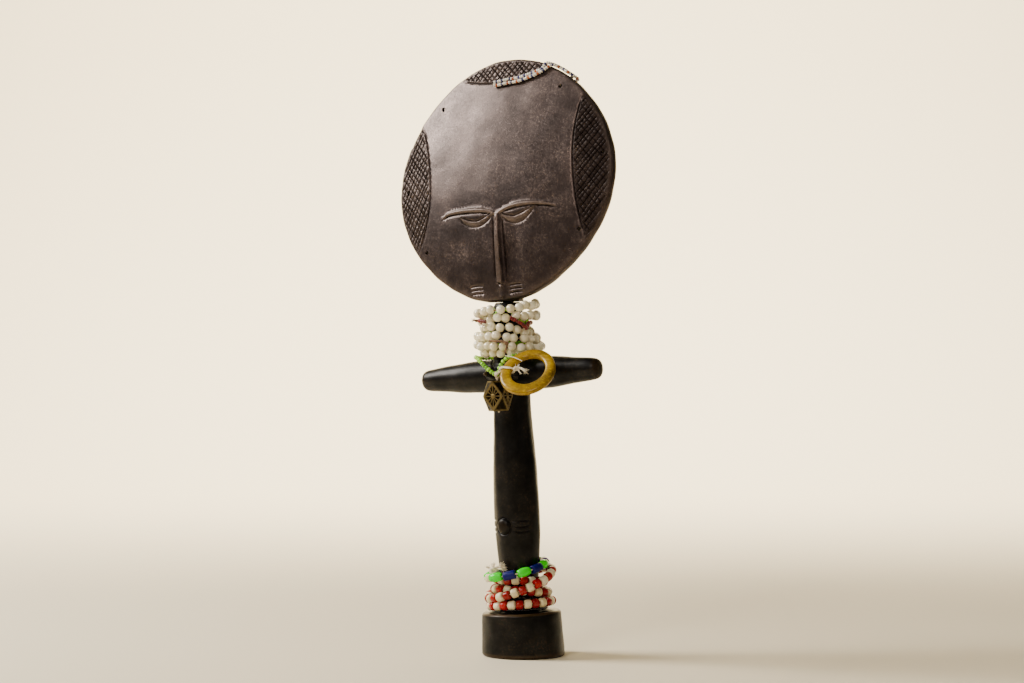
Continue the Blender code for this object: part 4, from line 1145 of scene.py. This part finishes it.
def strand(name, route, closed, pitch, kinds, string, string_radius=0.3, scatter=0.0, tilt=0.05,
           size_spread=0.03, seed=1):
    """A string of beads along a route in figure millimetres, as a plain mesh."""
    points = to_world(route)
    count = len(points)
    edges = [(i, (i + 1) % count) for i in range(count if closed else count - 1)]
    mesh = bpy.data.meshes.new(name + "_line")
    mesh.from_pydata([tuple(p) for p in points], edges, [])
    line = bpy.data.objects.new(name + "_line", mesh)
    bpy.context.collection.objects.link(line)
    length = sum(np.linalg.norm(points[a] - points[b]) for a, b in edges) / MM
    beads = round(length / pitch)
    if closed:
        beads -= beads % len(kinds)
    tree = strand_tree(kinds, string)
    mod = line.modifiers.new("beads", "NODES")
    mod.node_group = tree
    values = {"Bead count": beads, "String radius": string_radius * MM, "Scatter": scatter * MM,
              "Tilt": tilt, "Size spread": size_spread, "Seed": seed}
    for item in tree.interface.items_tree:
        if item.in_out == "INPUT" and item.name in values:
            mod[item.identifier] = values[item.name]
    bpy.context.view_layer.update()
    ready = line.evaluated_get(bpy.context.evaluated_depsgraph_get())
    result = bpy.data.meshes.new_from_object(ready)
    result.name = name
    obj = bpy.data.objects.new(name, result)
    bpy.context.collection.objects.link(obj)
    bpy.data.objects.remove(line)
    return obj


def round_points(stops):
    """Figure points from (heading in degrees from +X, radius, height)."""
    return [Vector((r * math.cos(math.radians(a)), r * math.sin(math.radians(a)), z))
            for a, r, z in stops]


def build_neck_beads(mats, beads):
    """Six rows of pearls, two of lime seeds between them, and the coral strand woven behind."""
    for k, (name, winding) in enumerate(NECK_PEARLS.items()):
        piece = strand(name.replace("pearl_strand", "pearls"), winding.route(17 * k), True,
                       PEARL_PITCH, [(beads["pearl"], mats["pearl"])], mats["brown_cord"],
                       string_radius=0.35, scatter=0.85, tilt=0.25, size_spread=0.05, seed=20 + k)
        settle(piece, "neck_beads", "pearl", name)
    for k, (name, winding) in enumerate(NECK_GREENS.items()):
        piece = strand(name.replace("strand", "seeds"), winding.route(), True, LIME_PITCH,
                       [(beads["lime"], mats["lime_seed"])], mats["brown_cord"],
                       string_radius=0.25, scatter=0.15, tilt=0.2, size_spread=0.08, seed=30 + k)
        settle(piece, "neck_beads", "green_seed", name)
    route = smooth_route(round_points(CORAL_ROUTE), 6, False)
    piece = strand("coral_seeds", route, False, CORAL_PITCH,
                   [(beads["chip"], mats["coral_seed"])], mats["brown_cord"], string_radius=0.25,
                   scatter=0.08, tilt=0.15, size_spread=0.08, seed=41)
    settle(piece, "neck_beads", "red_seed", "red_strand")


def build_waist_beads(mats, beads):
    """Four red and cream rows, the long green and navy strand, and two dark rows under them."""
    pair = [(beads["pony"], mats["red_pony"]), (beads["pony"], mats["cream_pony"])]
    for k, (name, winding) in enumerate(WAIST_PONIES.items()):
        piece = strand(name.replace("strand", "beads"), winding.route(PONY_STARTS[k]), True,
                       PONY_PITCH, pair, mats["cotton"], string_radius=0.4, scatter=0.12,
                       tilt=0.10, size_spread=0.04, seed=50 + k)
        settle(piece, "waist_beads", "pony_bead", name)
    pair = [(beads["barrel"], mats["green_long"]), (beads["tube"], mats["navy_long"])]
    # the long strand is open at the right front: a cream bead ends it and a bare thread closes it
    route = [WAIST_LONG.point(math.radians(a)) for a in np.linspace(-101, 181, 130)]
    piece = strand("green_navy_beads", route, False, LONG_PITCH, pair, mats["cotton"],
                   string_radius=0.5, scatter=0.08, tilt=0.04, size_spread=0.02, seed=60)
    settle(piece, "waist_beads", "long_bead", "long_bead_strand")
    route = [WAIST_LONG.point(math.radians(a)) for a in np.linspace(-117, -130, 9)]
    piece = strand("cream_end_beads", route, False, CREAM_END_PITCH, [(beads["pony"], mats["cream_pony"])],
                   mats["cotton"], string_radius=0.5, scatter=0.0, tilt=0.05, size_spread=0.02,
                   seed=61)
    settle(piece, "waist_beads", "pony_bead")
    route = [WAIST_LONG.point(math.radians(a)) for a in np.linspace(-186, -108, 12)]
    thread = bundle("long_strand_thread", twisted(route, 0.5, 0.3), mats["cotton"])
    settle(thread, "waist_beads", "cotton")
    for k, (name, winding) in enumerate(WAIST_DARK.items()):
        piece = strand(name.replace("strand", "beads"), winding.route(), True, DARK_PITCH,
                       [(beads["dark"], mats["black_seed"])], mats["brown_cord"],
                       string_radius=0.3, scatter=0.08, tilt=0.10, size_spread=0.06, seed=70 + k)
        settle(piece, "waist_beads", "black_seed", name)


# ------------------------------------------------------------------ threads and knots

def tube_mesh(route, radii, sides=6):
    """Points and faces of a closed-ended tube along a route."""
    rows, across = [], None
    count = len(route)
    for i, p in enumerate(route):
        ahead = (route[min(i + 1, count - 1)] - route[max(i - 1, 0)]).normalized()
        across = ahead.orthogonal() if across is None else across
        across = (across - ahead * across.dot(ahead)).normalized()
        up = ahead.cross(across)
        r = radii[i] if hasattr(radii, "__len__") else radii
        rows += [p + r * (across * math.cos(a) + up * math.sin(a))
                 for a in (2 * math.pi * k / sides for k in range(sides))]
    faces = grid_faces(count, sides)
    faces += [tuple(range(sides))[::-1], tuple(range((count - 1) * sides, count * sides))]
    return rows, faces


def bundle(name, tubes, mat):
    """Several tubes as one piece; each is (route, radii) or (route, radii, sides)."""
    points, faces = [], []
    for one in tubes:
        pts, fcs = tube_mesh(*one)
        faces += [tuple(i + len(points) for i in f) for f in fcs]
        points += pts
    return make_piece(name, [tuple(p) for p in points], faces, [mat])


def twisted(route, radius, turns_per_mm, strands=3, thickness=0.55):
    """Plies of a twisted cord along a route."""
    dense = smooth_route(route, 8, False)
    out = []
    for k in range(strands):
        ply, across, travelled = [], None, 0.0
        for i, p in enumerate(dense):
            ahead = (dense[min(i + 1, len(dense) - 1)] - dense[max(i - 1, 0)]).normalized()
            across = ahead.orthogonal() if across is None else across
            across = (across - ahead * across.dot(ahead)).normalized()
            if i:
                travelled += (p - dense[i - 1]).length
            a = 2 * math.pi * (k / strands + travelled * turns_per_mm)
            ply.append(p + radius * (1 - thickness) * (across * math.cos(a)
                                                       + ahead.cross(across) * math.sin(a)))
        out.append((ply, radius * thickness, 6))
    return out


def fray(centre, direction, count, length, spread, pick, radius=0.11):
    """Loose fibres that burst from the end of a thread."""
    out = []
    for _ in range(count):
        aim = (direction + Vector((pick.uniform(-1, 1), pick.uniform(-1, 1),
                                   pick.uniform(-1, 1))) * spread).normalized()
        curl = Vector((pick.uniform(-1, 1), pick.uniform(-1, 1), pick.uniform(-1, 1)))
        reach = length * pick.uniform(0.55, 1.0)
        pts = [centre + aim * (reach * t) + curl * (0.35 * reach * t * t)
               + Vector((math.sin(7 * t + curl.x * 3), math.cos(6 * t + curl.y * 3),
                         math.sin(5 * t + curl.z))) * 0.16 * t
               for t in (i / 6 for i in range(7))]
        out.append((pts, [radius * (1 - 0.6 * t) for t in (i / 6 for i in range(7))], 4))
    return out


def knot_turns(centre, size, pick, turns=3, radius=0.5):
    """A tight little tangle of thread."""
    points = []
    for i in range(turns * 7):
        a = i * 2 * math.pi / 7
        tilt = i * 0.9
        points.append(centre + Vector((math.cos(a) * math.cos(tilt), math.sin(a),
                                       math.cos(a) * math.sin(tilt)))
                      * size * pick.uniform(0.8, 1.05))
    return (smooth_route(points, 4, False), radius, 6)


def build_neck_cord(mats):
    """The brown cord between the two lowest full rows, with its knot and frayed tails."""
    stops = [(268, 21.9, 199.4), (276, 22.0, 199.3), (284, 22.0, 199.0), (290, 22.1, 198.9),
             (296, 22.4, 198.4), (301, 22.6, 197.6)]
    route = round_points(stops)
    pick = random.Random(5)
    middle = Vector((10.6, -20.4, 197.6))
    tubes = twisted(route, 0.75, 0.22)
    tubes.append(knot_turns(middle, 1.35, pick, 3, 0.5))
    tubes += twisted([middle, middle + Vector((1.2, -1.2, -2.4)), middle + Vector((0.6, -1.6, -4.6))],
                     0.6, 0.25)
    tubes += fray(middle + Vector((0.6, -1.6, -4.4)), Vector((0.1, -0.3, -1)), 14, 2.6, 0.5, pick)
    tubes += fray(middle, Vector((-0.8, -0.5, 0.4)), 16, 3.2, 0.6, pick)
    end = Vector((-10.6, -20.6, 212.4))
    tubes.append(knot_turns(end, 1.1, pick, 3, 0.5))
    tubes += fray(end, Vector((-0.9, -0.4, 0.35)), 22, 3.6, 0.5, pick, 0.17)
    cord = bundle("brown_neck_cord", tubes, mats["brown_cord"])
    settle(cord, "neck_beads", "brown_cord", "brown_cord")


def build_tassel(mats):
    """The tied-off ends of the waist strings, frayed out."""
    pick = random.Random(8)
    root = Vector((-8.8, -18.9, 51.8))
    knot = Vector((-7.6, -18.9, 55.4))
    tubes = [knot_turns(knot, 3.2, pick, 7, 0.95), knot_turns(root, 2.6, pick, 6, 0.85)]
    for aim, length in (((1.0, 0.0, 0.16), 11.0), ((0.9, 0.1, 0.50), 9.5), ((-0.8, -0.2, 0.5), 6.0),
                        ((0.2, -0.1, 0.9), 6.0)):
        aim = Vector(aim).normalized()
        end = knot + aim * length * 0.6
        tubes += twisted([knot, knot + aim * length * 0.3 + Vector((0, 0, 0.4)), end], 0.8, 0.2)
        tubes += fray(end - aim * 0.8, aim, 44, length * 0.42, 0.55, pick, 0.17)
    tubes += fray(knot, Vector((-0.2, -0.5, 0.5)), 50, 4.0, 1.0, pick, 0.17)
    tassel = bundle("frayed_tassel", tubes, mats["cotton"])
    settle(tassel, "waist_beads", "cotton", "tassel_knot")


# ------------------------------------------------------------------ pendants

APEX = Vector((4.8, -23.1, 178.1))
PENDANT_LOOP = [APEX, (7.0, -22.4, 183.4), (10.2, -19.4, 188.2), (15.8, -14.6, 189.8),
                (20.2, -7.6, 189.8), (21.6, 0.5, 189.8), (19.4, 9.5, 189.2), (12.0, 17.0, 187.0),
                (0.0, 19.6, 185.6), (-12.0, 17.0, 186.4), (-19.4, 9.5, 188.2), (-21.6, 0.5, 188.7),
                (-19.8, -8.6, 189.2), (-15.0, -15.6, 189.2), (-9.4, -20.0, 187.0),
                (-2.6, -22.9, 182.4)]
RING_CENTRE = Vector((29.4, -25.6, 178.9))
RING_NORMAL = Vector((0.16, -0.725, 0.67)).normalized()
RING_MID_R = 14.5
RING_BAND_HALF = 3.5
RING_HALF_THICK = 2.1
RING_HOLE_RISE = 0.9           # how far the hole was bored above the middle
BEAD_CENTRE = Vector((APEX.x, APEX.y, 165.0))
BEAD_HALF_WIDTH = 7.2
BEAD_HALF_HEIGHT = 9.5
BEAD_TURN = math.radians(6.0)


def ring_axes():
    """The ring's level and rising directions, in its own plane."""
    across = Vector((0, 0, 1)).cross(RING_NORMAL).normalized()
    return across, RING_NORMAL.cross(across)


def build_ring(mats):
    """The flat ring with softly rounded edges, a little uneven from filing."""
    across, up = ring_axes()
    around, section = 144, 24
    points = []
    for i in range(around):
        a = 2 * math.pi * i / around
        out = across * math.cos(a) + up * math.sin(a)
        outer = RING_MID_R + RING_BAND_HALF - 0.05 - 0.12 * (1 + math.sin(3 * a + 1))
        inner = RING_MID_R - RING_BAND_HALF + RING_HOLE_RISE * math.sin(a) + 0.1
        middle, band = (outer + inner) / 2, (outer - inner) / 2
        thick = RING_HALF_THICK * (1 + 0.03 * math.sin(2 * a)) - 0.1
        for k in range(section):
            b = 2 * math.pi * k / section
            c, s = math.cos(b), math.sin(b)
            points.append(RING_CENTRE + out * (middle + math.copysign(abs(c) ** 0.62, c) * band)
                          + RING_NORMAL * math.copysign(abs(s) ** 0.55, s) * thick)
    ring = make_piece("ochre_ring", [tuple(p) for p in points],
                      grid_faces(around, section, True, True), [mats["ring"]])
    settle(ring, "ring", "ring", "pendant_ring")


def build_tie(mats):
    """White thread: turns round the ring's band, a knot inside it and its frayed ends."""
    across, up = ring_axes()
    pick = random.Random(3)
    inward = RING_CENTRE - APEX
    inward = (inward - RING_NORMAL * inward.dot(RING_NORMAL)).normalized()
    aside = inward.cross(RING_NORMAL).normalized()
    tubes = []
    inner = RING_MID_R - RING_BAND_HALF - 0.75
    outer = RING_MID_R + RING_BAND_HALF + 0.75
    for k, shift in enumerate((-0.7, 0.3)):
        loop = []
        for i in range(29):
            a = 2 * math.pi * i / 28
            c, s = math.cos(a), math.sin(a)
            along = (inner + outer) / 2 + math.copysign(abs(c) ** 0.5, c) * (outer - inner) / 2
            deep = math.copysign(abs(s) ** 0.5, s) * (RING_HALF_THICK + 0.5)
            loop.append(RING_CENTRE - inward * along + RING_NORMAL * deep
                        + aside * (shift + 0.6 * math.sin(a + k)))
        tubes += twisted(loop, 0.42, 0.5, 2, 0.6)
    start = RING_CENTRE - inward * (outer + 0.3)
    near_apex = APEX + Vector((0.5, -1.5, 0.3))
    tubes += twisted([near_apex, (near_apex + start) / 2 + Vector((0, -0.5, -0.3)),
                      start + RING_NORMAL * 1.6], 0.45, 0.4, 2, 0.6)
    tubes += twisted([near_apex + Vector((0, 0.4, -0.6)), start - RING_NORMAL * 1.0], 0.42, 0.4, 2,
                     0.6)
    # a loose tail that lies over the ring's upper edge
    tail = [RING_CENTRE + VIEWER_RIGHT * a + TOWARDS_VIEWER * d + Vector((0, 0, z))
            for a, d, z in ((-13.6, -10.6, 10.9), (-10.2, -8.4, 10.2), (-6.8, -5.6, 9.0),
                            (-3.4, -3.8, 7.2))]
    tubes += twisted(tail, 0.34, 0.4, 2, 0.6)
    wraps = bundle("thread_turns", tubes, mats["cotton"])
    settle(wraps, "ring", "cotton", "tie_thread")

    knot = RING_CENTRE - inward * (inner - 2.0) + RING_NORMAL * 1.2 + Vector((0, 0, 0.6))
    tubes = [knot_turns(knot, 1.9, pick, 5, 0.6)]
    tubes += twisted([knot, knot + inward * 2.6 + up * 1.0, knot + inward * 5.2 + up * 0.2], 0.85,
                     0.2, 3)
    tubes += twisted([knot, knot + inward * 2.0 - up * 1.0, knot + inward * 3.6 - up * 2.6], 0.5,
                     0.3, 2)
    tip = knot + inward * 5.0 + up * 0.3
    tubes += fray(tip, inward - up * 0.4, 40, 3.8, 0.6, pick, 0.18)
    tubes += fray(knot + inward * 3.4 - up * 2.4, inward - up, 14, 2.2, 0.5, pick, 0.13)
    tubes += fray(knot, up + inward * 0.3, 30, 3.4, 0.8, pick, 0.17)
    ends = bundle("frayed_tie_knot", tubes, mats["cotton"])
    settle(ends, "ring", "cotton", "tie_knot")


def build_brass_bead(mats):
    """The cast bead: square faces on end, each pierced with a rosette of spokes."""
    turn = Matrix.Rotation(BEAD_TURN, 3, "Z")
    w, h = BEAD_HALF_WIDTH - 0.15, BEAD_HALF_HEIGHT - 0.1

    def at(x, y, z):
        return BEAD_CENTRE + turn @ Vector((x * w, y * w, z * h))

    points, faces, slots, shines = [], [], [], []

    def put(pts, fcs, slot, shine=0.1):
        base = len(points)
        points.extend(pts)
        shines.extend(shine if hasattr(shine, "__len__") else [shine] * len(pts))
        faces.extend(tuple(base + i for i in f) for f in fcs)
        slots.extend([slot] * len(fcs))

    # dark hollow core, a little inside the cast skin
    core = []
    for a in (-1, 1):
        for b in (-1, 1):
            core += [(a, b, 0), (a, 0, b), (0, a, b)]
    bm = bmesh.new()
    for c in core:
        bm.verts.new(BEAD_CENTRE + (at(*c) - BEAD_CENTRE) * 0.84)
    bmesh.ops.convex_hull(bm, input=bm.verts)
    bm.verts.index_update()
    put([v.co.copy() for v in bm.verts], [[v.index for v in f.verts] for f in bm.faces], 1)
    bm.free()

    # square faces: frame, ring of spokes and centre stud
    for axis in range(3):
        for sign in (-1, 1):
            corners = []
            for p, q in ((1, 0), (0, 1), (-1, 0), (0, -1)):
                c = [0, 0, 0]
                c[axis] = sign
                c[(axis + 1) % 3], c[(axis + 2) % 3] = p, q
                corners.append(at(*c))
            centre = sum(corners, Vector()) / 4
            normal = (centre - BEAD_CENTRE).normalized()
            seat = [BEAD_CENTRE + (c - BEAD_CENTRE) * 0.86 for c in corners]
            seat_centre = sum(seat, Vector()) / 4
            depth = (centre - seat_centre).length
            frame_pts = []
            for ring, share in ((seat, 1.0), (corners, 0.985), (corners, 0.80), (seat, 0.80)):
                mid = seat_centre if ring is seat else centre
                frame_pts += [mid + (c - mid) * share for c in ring]
            put(frame_pts, grid_faces(4, 4, True, True), 0, [0.2] * 4 + [0.9] * 8 + [0.1] * 4)
            spokes = 12
            for k in range(spokes):
                a = 2 * math.pi * k / spokes
                # reach to the diamond's side in this direction
                u, v = (corners[0] - centre), (corners[1] - centre)
                reach = 0.86 / (abs(math.cos(a)) + abs(math.sin(a)))
                aim = u * math.cos(a) + v * math.sin(a)
                start, end = centre + aim * 0.12, centre + aim * reach
                side_dir = normal.cross(aim).normalized()
                wide0, wide1 = 0.26, 0.50
                spoke = []
                for q, wide in ((start, wide0), (end, wide1)):
                    low = q - normal * depth * 0.75
                    spoke += [low - side_dir * wide * 1.1, q - side_dir * wide * 0.6 - normal * 0.12,
                              q + side_dir * wide * 0.6 - normal * 0.12, low + side_dir * wide * 1.1]
                put(spoke, [(0, 1, 5, 4), (1, 2, 6, 5), (2, 3, 7, 6), (3, 0, 4, 7), (3, 2, 1, 0),
                            (4, 5, 6, 7)], 0, [0.1, 1.0, 1.0, 0.1] * 2)
            stud = []
            for r, lift in ((1.5, -depth * 0.75), (1.5, -0.15), (1.0, 0.12), (0.3, 0.25)):
                side_a = (corners[0] - centre).normalized()
                side_b = normal.cross(side_a)
                stud += [centre + normal * lift + r * (side_a * math.cos(b) + side_b * math.sin(b))
                         for b in (2 * math.pi * i / 12 for i in range(12))]
            put(stud, grid_faces(4, 12) + [tuple(range(12))[::-1], tuple(range(36, 48))], 0,
                [0.1] * 12 + [0.9] * 36)

    # three-cornered faces: plain cast plates with a small boss
    for x in (-1, 1):
        for y in (-1, 1):
            for z in (-1, 1):
                corners = [at(x, y, 0), at(x, 0, z), at(0, y, z)]
                centre = sum(corners, Vector()) / 3
                inner = [BEAD_CENTRE + (c - BEAD_CENTRE) * 0.86 for c in corners]
                rim = [centre + (c - centre) * 0.95 for c in corners]
                dish = [centre + (c - centre) * 0.62 - (centre - BEAD_CENTRE).normalized() * 0.35
                        for c in corners]
                put(inner + rim + dish, grid_faces(3, 3) + [(0, 1, 2), (8, 7, 6)], 0,
                    [0.2] * 3 + [0.75] * 3 + [0.3] * 3)
    bead = make_piece("cast_rosette_bead", [tuple(p) for p in points], faces,
                      [mats["brass"], mats["brass_inside"]], slots, 35,
                      wear=shines)
    settle(bead, "bead", "brass", "brass_bead")


def build_hangers(mats):
    """The thread round the strand's lowest point, and the one down through the bead."""
    pick = random.Random(2)
    ahead = (Vector(PENDANT_LOOP[1]) - Vector(PENDANT_LOOP[-1])).normalized()
    across = (Vector((0, 0, 1)) - ahead * ahead.z).normalized()
    out = ahead.cross(across).normalized()
    tubes = []
    for shift in (-0.5, 0.35):
        loop = [APEX + ahead * shift + (across * math.cos(a) + out * math.sin(a)) * 1.75
                for a in (2 * math.pi * i / 18 for i in range(19))]
        tubes += twisted(loop, 0.4, 0.5, 2, 0.6)
    tubes.append(knot_turns(APEX + Vector((0, -0.4, -2.3)), 0.75, pick, 2, 0.4))
    loop = bundle("thread_hanger", tubes, mats["cotton"])
    settle(loop, "bead_hanger", "cotton", "hang_loop")
    top = APEX + Vector((0, 0, -3.0))
    bottom = BEAD_CENTRE - Vector((0, 0, BEAD_HALF_HEIGHT + 0.1))
    tubes = twisted([top, (top + bottom) / 2, bottom], 0.45, 0.45, 2, 0.6)
    tubes.append(knot_turns(bottom - Vector((0, 0, 0.3)), 0.55, pick, 2, 0.3))
    thread = bundle("bead_thread_plied", tubes, mats["cotton"])
    settle(thread, "bead", "cotton", "bead_thread")


def build_pendants(mats, beads):
    """The lime strand over the shoulders, with the ring and the cast bead that hang from it."""
    route = smooth_route(PENDANT_LOOP, 10, True)
    piece = strand("lime_pendant_seeds", route, True, LIME_PENDANT_PITCH,
                   [(beads["lime"], mats["lime_seed"])], mats["brown_cord"], string_radius=0.25,
                   scatter=0.08, tilt=0.14, size_spread=0.08, seed=80)
    settle(piece, "figure", "green_seed", "pendant_strand")
    build_ring(mats)
    build_tie(mats)
    build_brass_bead(mats)
    build_hangers(mats)


# ------------------------------------------------------------------ strands on the head

HEAD_STRAND_FRONT = [(-4.0, 67.6), (5.0, 68.0), (14.0, 68.0), (23.0, 69.7), (30.0, 71.6)]
HEAD_STRAND_RIM = (29.0, 31.0, 33.0)         # degrees from the crown, towards the left hand
HEAD_STRAND_BACK = [(38.5, 66.0), (32.0, 67.4), (23.0, 68.0), (10.0, 68.0), (-4.0, 67.6)]
HEAD_STRAND_SPREAD = 2.5
SEED_R = 1.1


def rim_point(bearing, outward, w):
    """A point beside the rim, so far out from it and so deep; the bearing is from the crown."""
    a = math.radians(bearing)
    reach = float(head_outline(math.pi - a)) + outward
    return Vector((math.sin(a) * reach, w, math.cos(a) * reach))


def head_strand_route(row):
    """Across the face, over the edge, along the rim, and back behind; row 1 runs inside row 0."""
    lift = SEED_R + 0.35

    def level(points, depth, sign):
        out = []
        for u, v in points:
            u, v = Vector((u, v)) - Vector((u, v)).normalized() * row * HEAD_STRAND_SPREAD
            out.append(Vector((u, float(depth(u, v)) + sign * lift, v)))
        return out
    corner = 0.75 * lift - 0.2
    first, last = HEAD_STRAND_RIM[0] - 5.0, HEAD_STRAND_RIM[-1] + 3.0
    route = level(HEAD_STRAND_FRONT, front_depth, -1)
    route.append(rim_point(first + 3.0 * row, corner, -0.75 * lift))
    route += [rim_point(b + 2.0 * row, lift + 0.1, HEAD_RIM_W + 1.4 - 2.8 * row)
              for b in HEAD_STRAND_RIM]
    route.append(rim_point(last + 3.0 * row, corner, HEAD_BACK_W + 0.75 * lift))
    route += level(HEAD_STRAND_BACK, back_depth, 1)
    return [HEAD @ p for p in smooth_route(route, 10, False)]


def build_head_strands(mats, beads):
    """Two mixed strands over the crown, tied through the hole beside it."""
    white, navy, orange = ((beads["tiny"], mats[m]) for m in ("white_seed", "navy_seed",
                                                              "orange_seed"))
    patterns = {"head_strand_upper": [white, navy, white, white, navy, white, white, white, navy,
                                      white, orange, white],
                "head_strand_lower": [white, orange, white, white, navy, white, white, orange,
                                      white, navy, white]}
    for k, (name, kinds) in enumerate(patterns.items()):
        piece = strand(name.replace("strand", "seeds"), head_strand_route(k), False, TINY_PITCH, kinds,
                       mats["cotton"], string_radius=0.25, scatter=0.05, tilt=0.12,
                       size_spread=0.08, seed=90 + k)
        settle(piece, "figure", "mixed_seed", name)
    pick = random.Random(4)
    u, v = HEAD_HOLES[2]
    front = HEAD @ Vector((u + 0.4, float(front_depth(u, v)) - 0.9, v))
    back = HEAD @ Vector((u, float(back_depth(u, v)) + 0.9, v))
    tubes = [knot_turns(front, 0.7, pick, 2, 0.35), knot_turns(back, 1.0, pick, 3, 0.4)]
    tubes += twisted([front, (front + back) / 2, back], 0.45, 0.4, 2, 0.6)
    tubes += fray(back, Vector((0.2, 1.0, -0.6)), 14, 3.2, 0.5, pick, 0.12)
    knot = bundle("head_thread_knot", tubes, mats["cotton"])
    settle(knot, "figure", "cotton", "head_strand_knot")


# ------------------------------------------------------------------ camera, floor and light

# name, azimuth from the viewer, elevation, distance (m), size (m), power (W), colour
SOFTBOXES = [("key", -99, 35, 1.3, (0.55, 0.6), 30, "FFF8EE"),
             ("front", -25, 32, 1.8, (0.45, 0.45), 12.5, "FFF4E4"),
             ("fill", 50, 22, 1.9, (0.9, 0.9), 2.0, "FFF0DC")]


def build_stage():
    """Camera, a pale floor that fades into the surround, and soft studio light."""
    camera = bpy.data.objects.new("camera", bpy.data.cameras.new("camera"))
    bpy.context.collection.objects.link(camera)
    camera.location = (TOWARDS_VIEWER * CAMERA_DISTANCE + VIEWER_RIGHT * CAMERA_ASIDE
                       + Vector((0, 0, CAMERA_HEIGHT))) * MM
    camera.rotation_euler = (math.radians(90), 0, LEAN_FACING)
    camera.data.lens = CAMERA_LENS
    camera.data.sensor_width = 36.0
    bpy.context.scene.camera = camera

    world = bpy.data.worlds.new("surround")
    bpy.context.scene.world = world
    world.use_nodes = True
    tree = world.node_tree
    tree.nodes.clear()
    glow = add(tree, "ShaderNodeBackground", {"Color": tinted("FFF3DC"), "Strength": 0.07})
    add(tree, "ShaderNodeOutputWorld", {"Surface": glow})

    # a paper sweep: flat under the figure, then curving up behind it
    profile = [(4.5, 0.0), (0.4, 0.0), (-0.9, 0.0), (-1.7, 0.0)]
    profile += [(-1.7 - 0.7 * math.sin(a), 0.7 - 0.7 * math.cos(a))
                for a in np.radians(np.arange(6, 91, 6))]
    profile += [(-2.4, 1.6), (-2.4, 3.6)]
    points = [TOWARDS_VIEWER * d + VIEWER_RIGHT * side + Vector((0, 0, z))
              for d, z in profile for side in (-4.0, -1.3, 1.3, 4.0)]
    mesh = bpy.data.meshes.new("floor")
    mesh.from_pydata(points, [], grid_faces(len(profile), 4, False))
    mesh.shade_smooth()
    floor = bpy.data.objects.new("floor", mesh)
    bpy.context.collection.objects.link(floor)
    mat, tree, shader = blank_material("pale_matt_paper")
    shader.inputs["Base Color"].default_value = tinted("F3E8CC")
    shader.inputs["Roughness"].default_value = 0.9
    mesh.materials.append(mat)

    middle = Vector((0, 0, 0.2))

    def softbox(name, azimuth, elevation, distance, size, power, colour, aim=middle, cone=180):
        data = bpy.data.lights.new(name, "AREA")
        data.shape = "RECTANGLE"
        data.size, data.size_y = size
        data.energy = power
        data.color = tinted(colour)[:3]
        data.spread = math.radians(cone)
        lamp = bpy.data.objects.new(name, data)
        bpy.context.collection.objects.link(lamp)
        a = LEAN_FACING + math.radians(azimuth)
        e = math.radians(elevation)
        place = middle + Vector((math.sin(a) * math.cos(e), -math.cos(a) * math.cos(e),
                                 math.sin(e))) * distance
        lamp.location = place
        lamp.rotation_euler = (place - aim).to_track_quat("Z", "Y").to_euler()

    for lamp in SOFTBOXES:
        softbox(*lamp)
    softbox("paper_light", 180, 54, 1.9, (2.4, 0.6), 95, "FFF4DE",
            TOWARDS_VIEWER * -2.2 + Vector((0, 0, 0.25)), 120)


def main():
    """Everything, in the order that the random draws follow."""
    build_stage()
    mats = make_materials()
    beads = make_beads()
    build_head(mats)
    build_body(mats)
    build_arms(mats)
    build_base(mats)
    build_head_strands(mats, beads)
    build_neck_beads(mats, beads)
    build_neck_cord(mats)
    build_waist_beads(mats, beads)
    build_tassel(mats)
    build_pendants(mats, beads)
    for bead in beads.values():
        bpy.data.objects.remove(bead)
    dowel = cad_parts["neck_dowel"]
    dowel.data.materials.clear()
    dowel.data.materials.append(mats["dark_wood"])


main()
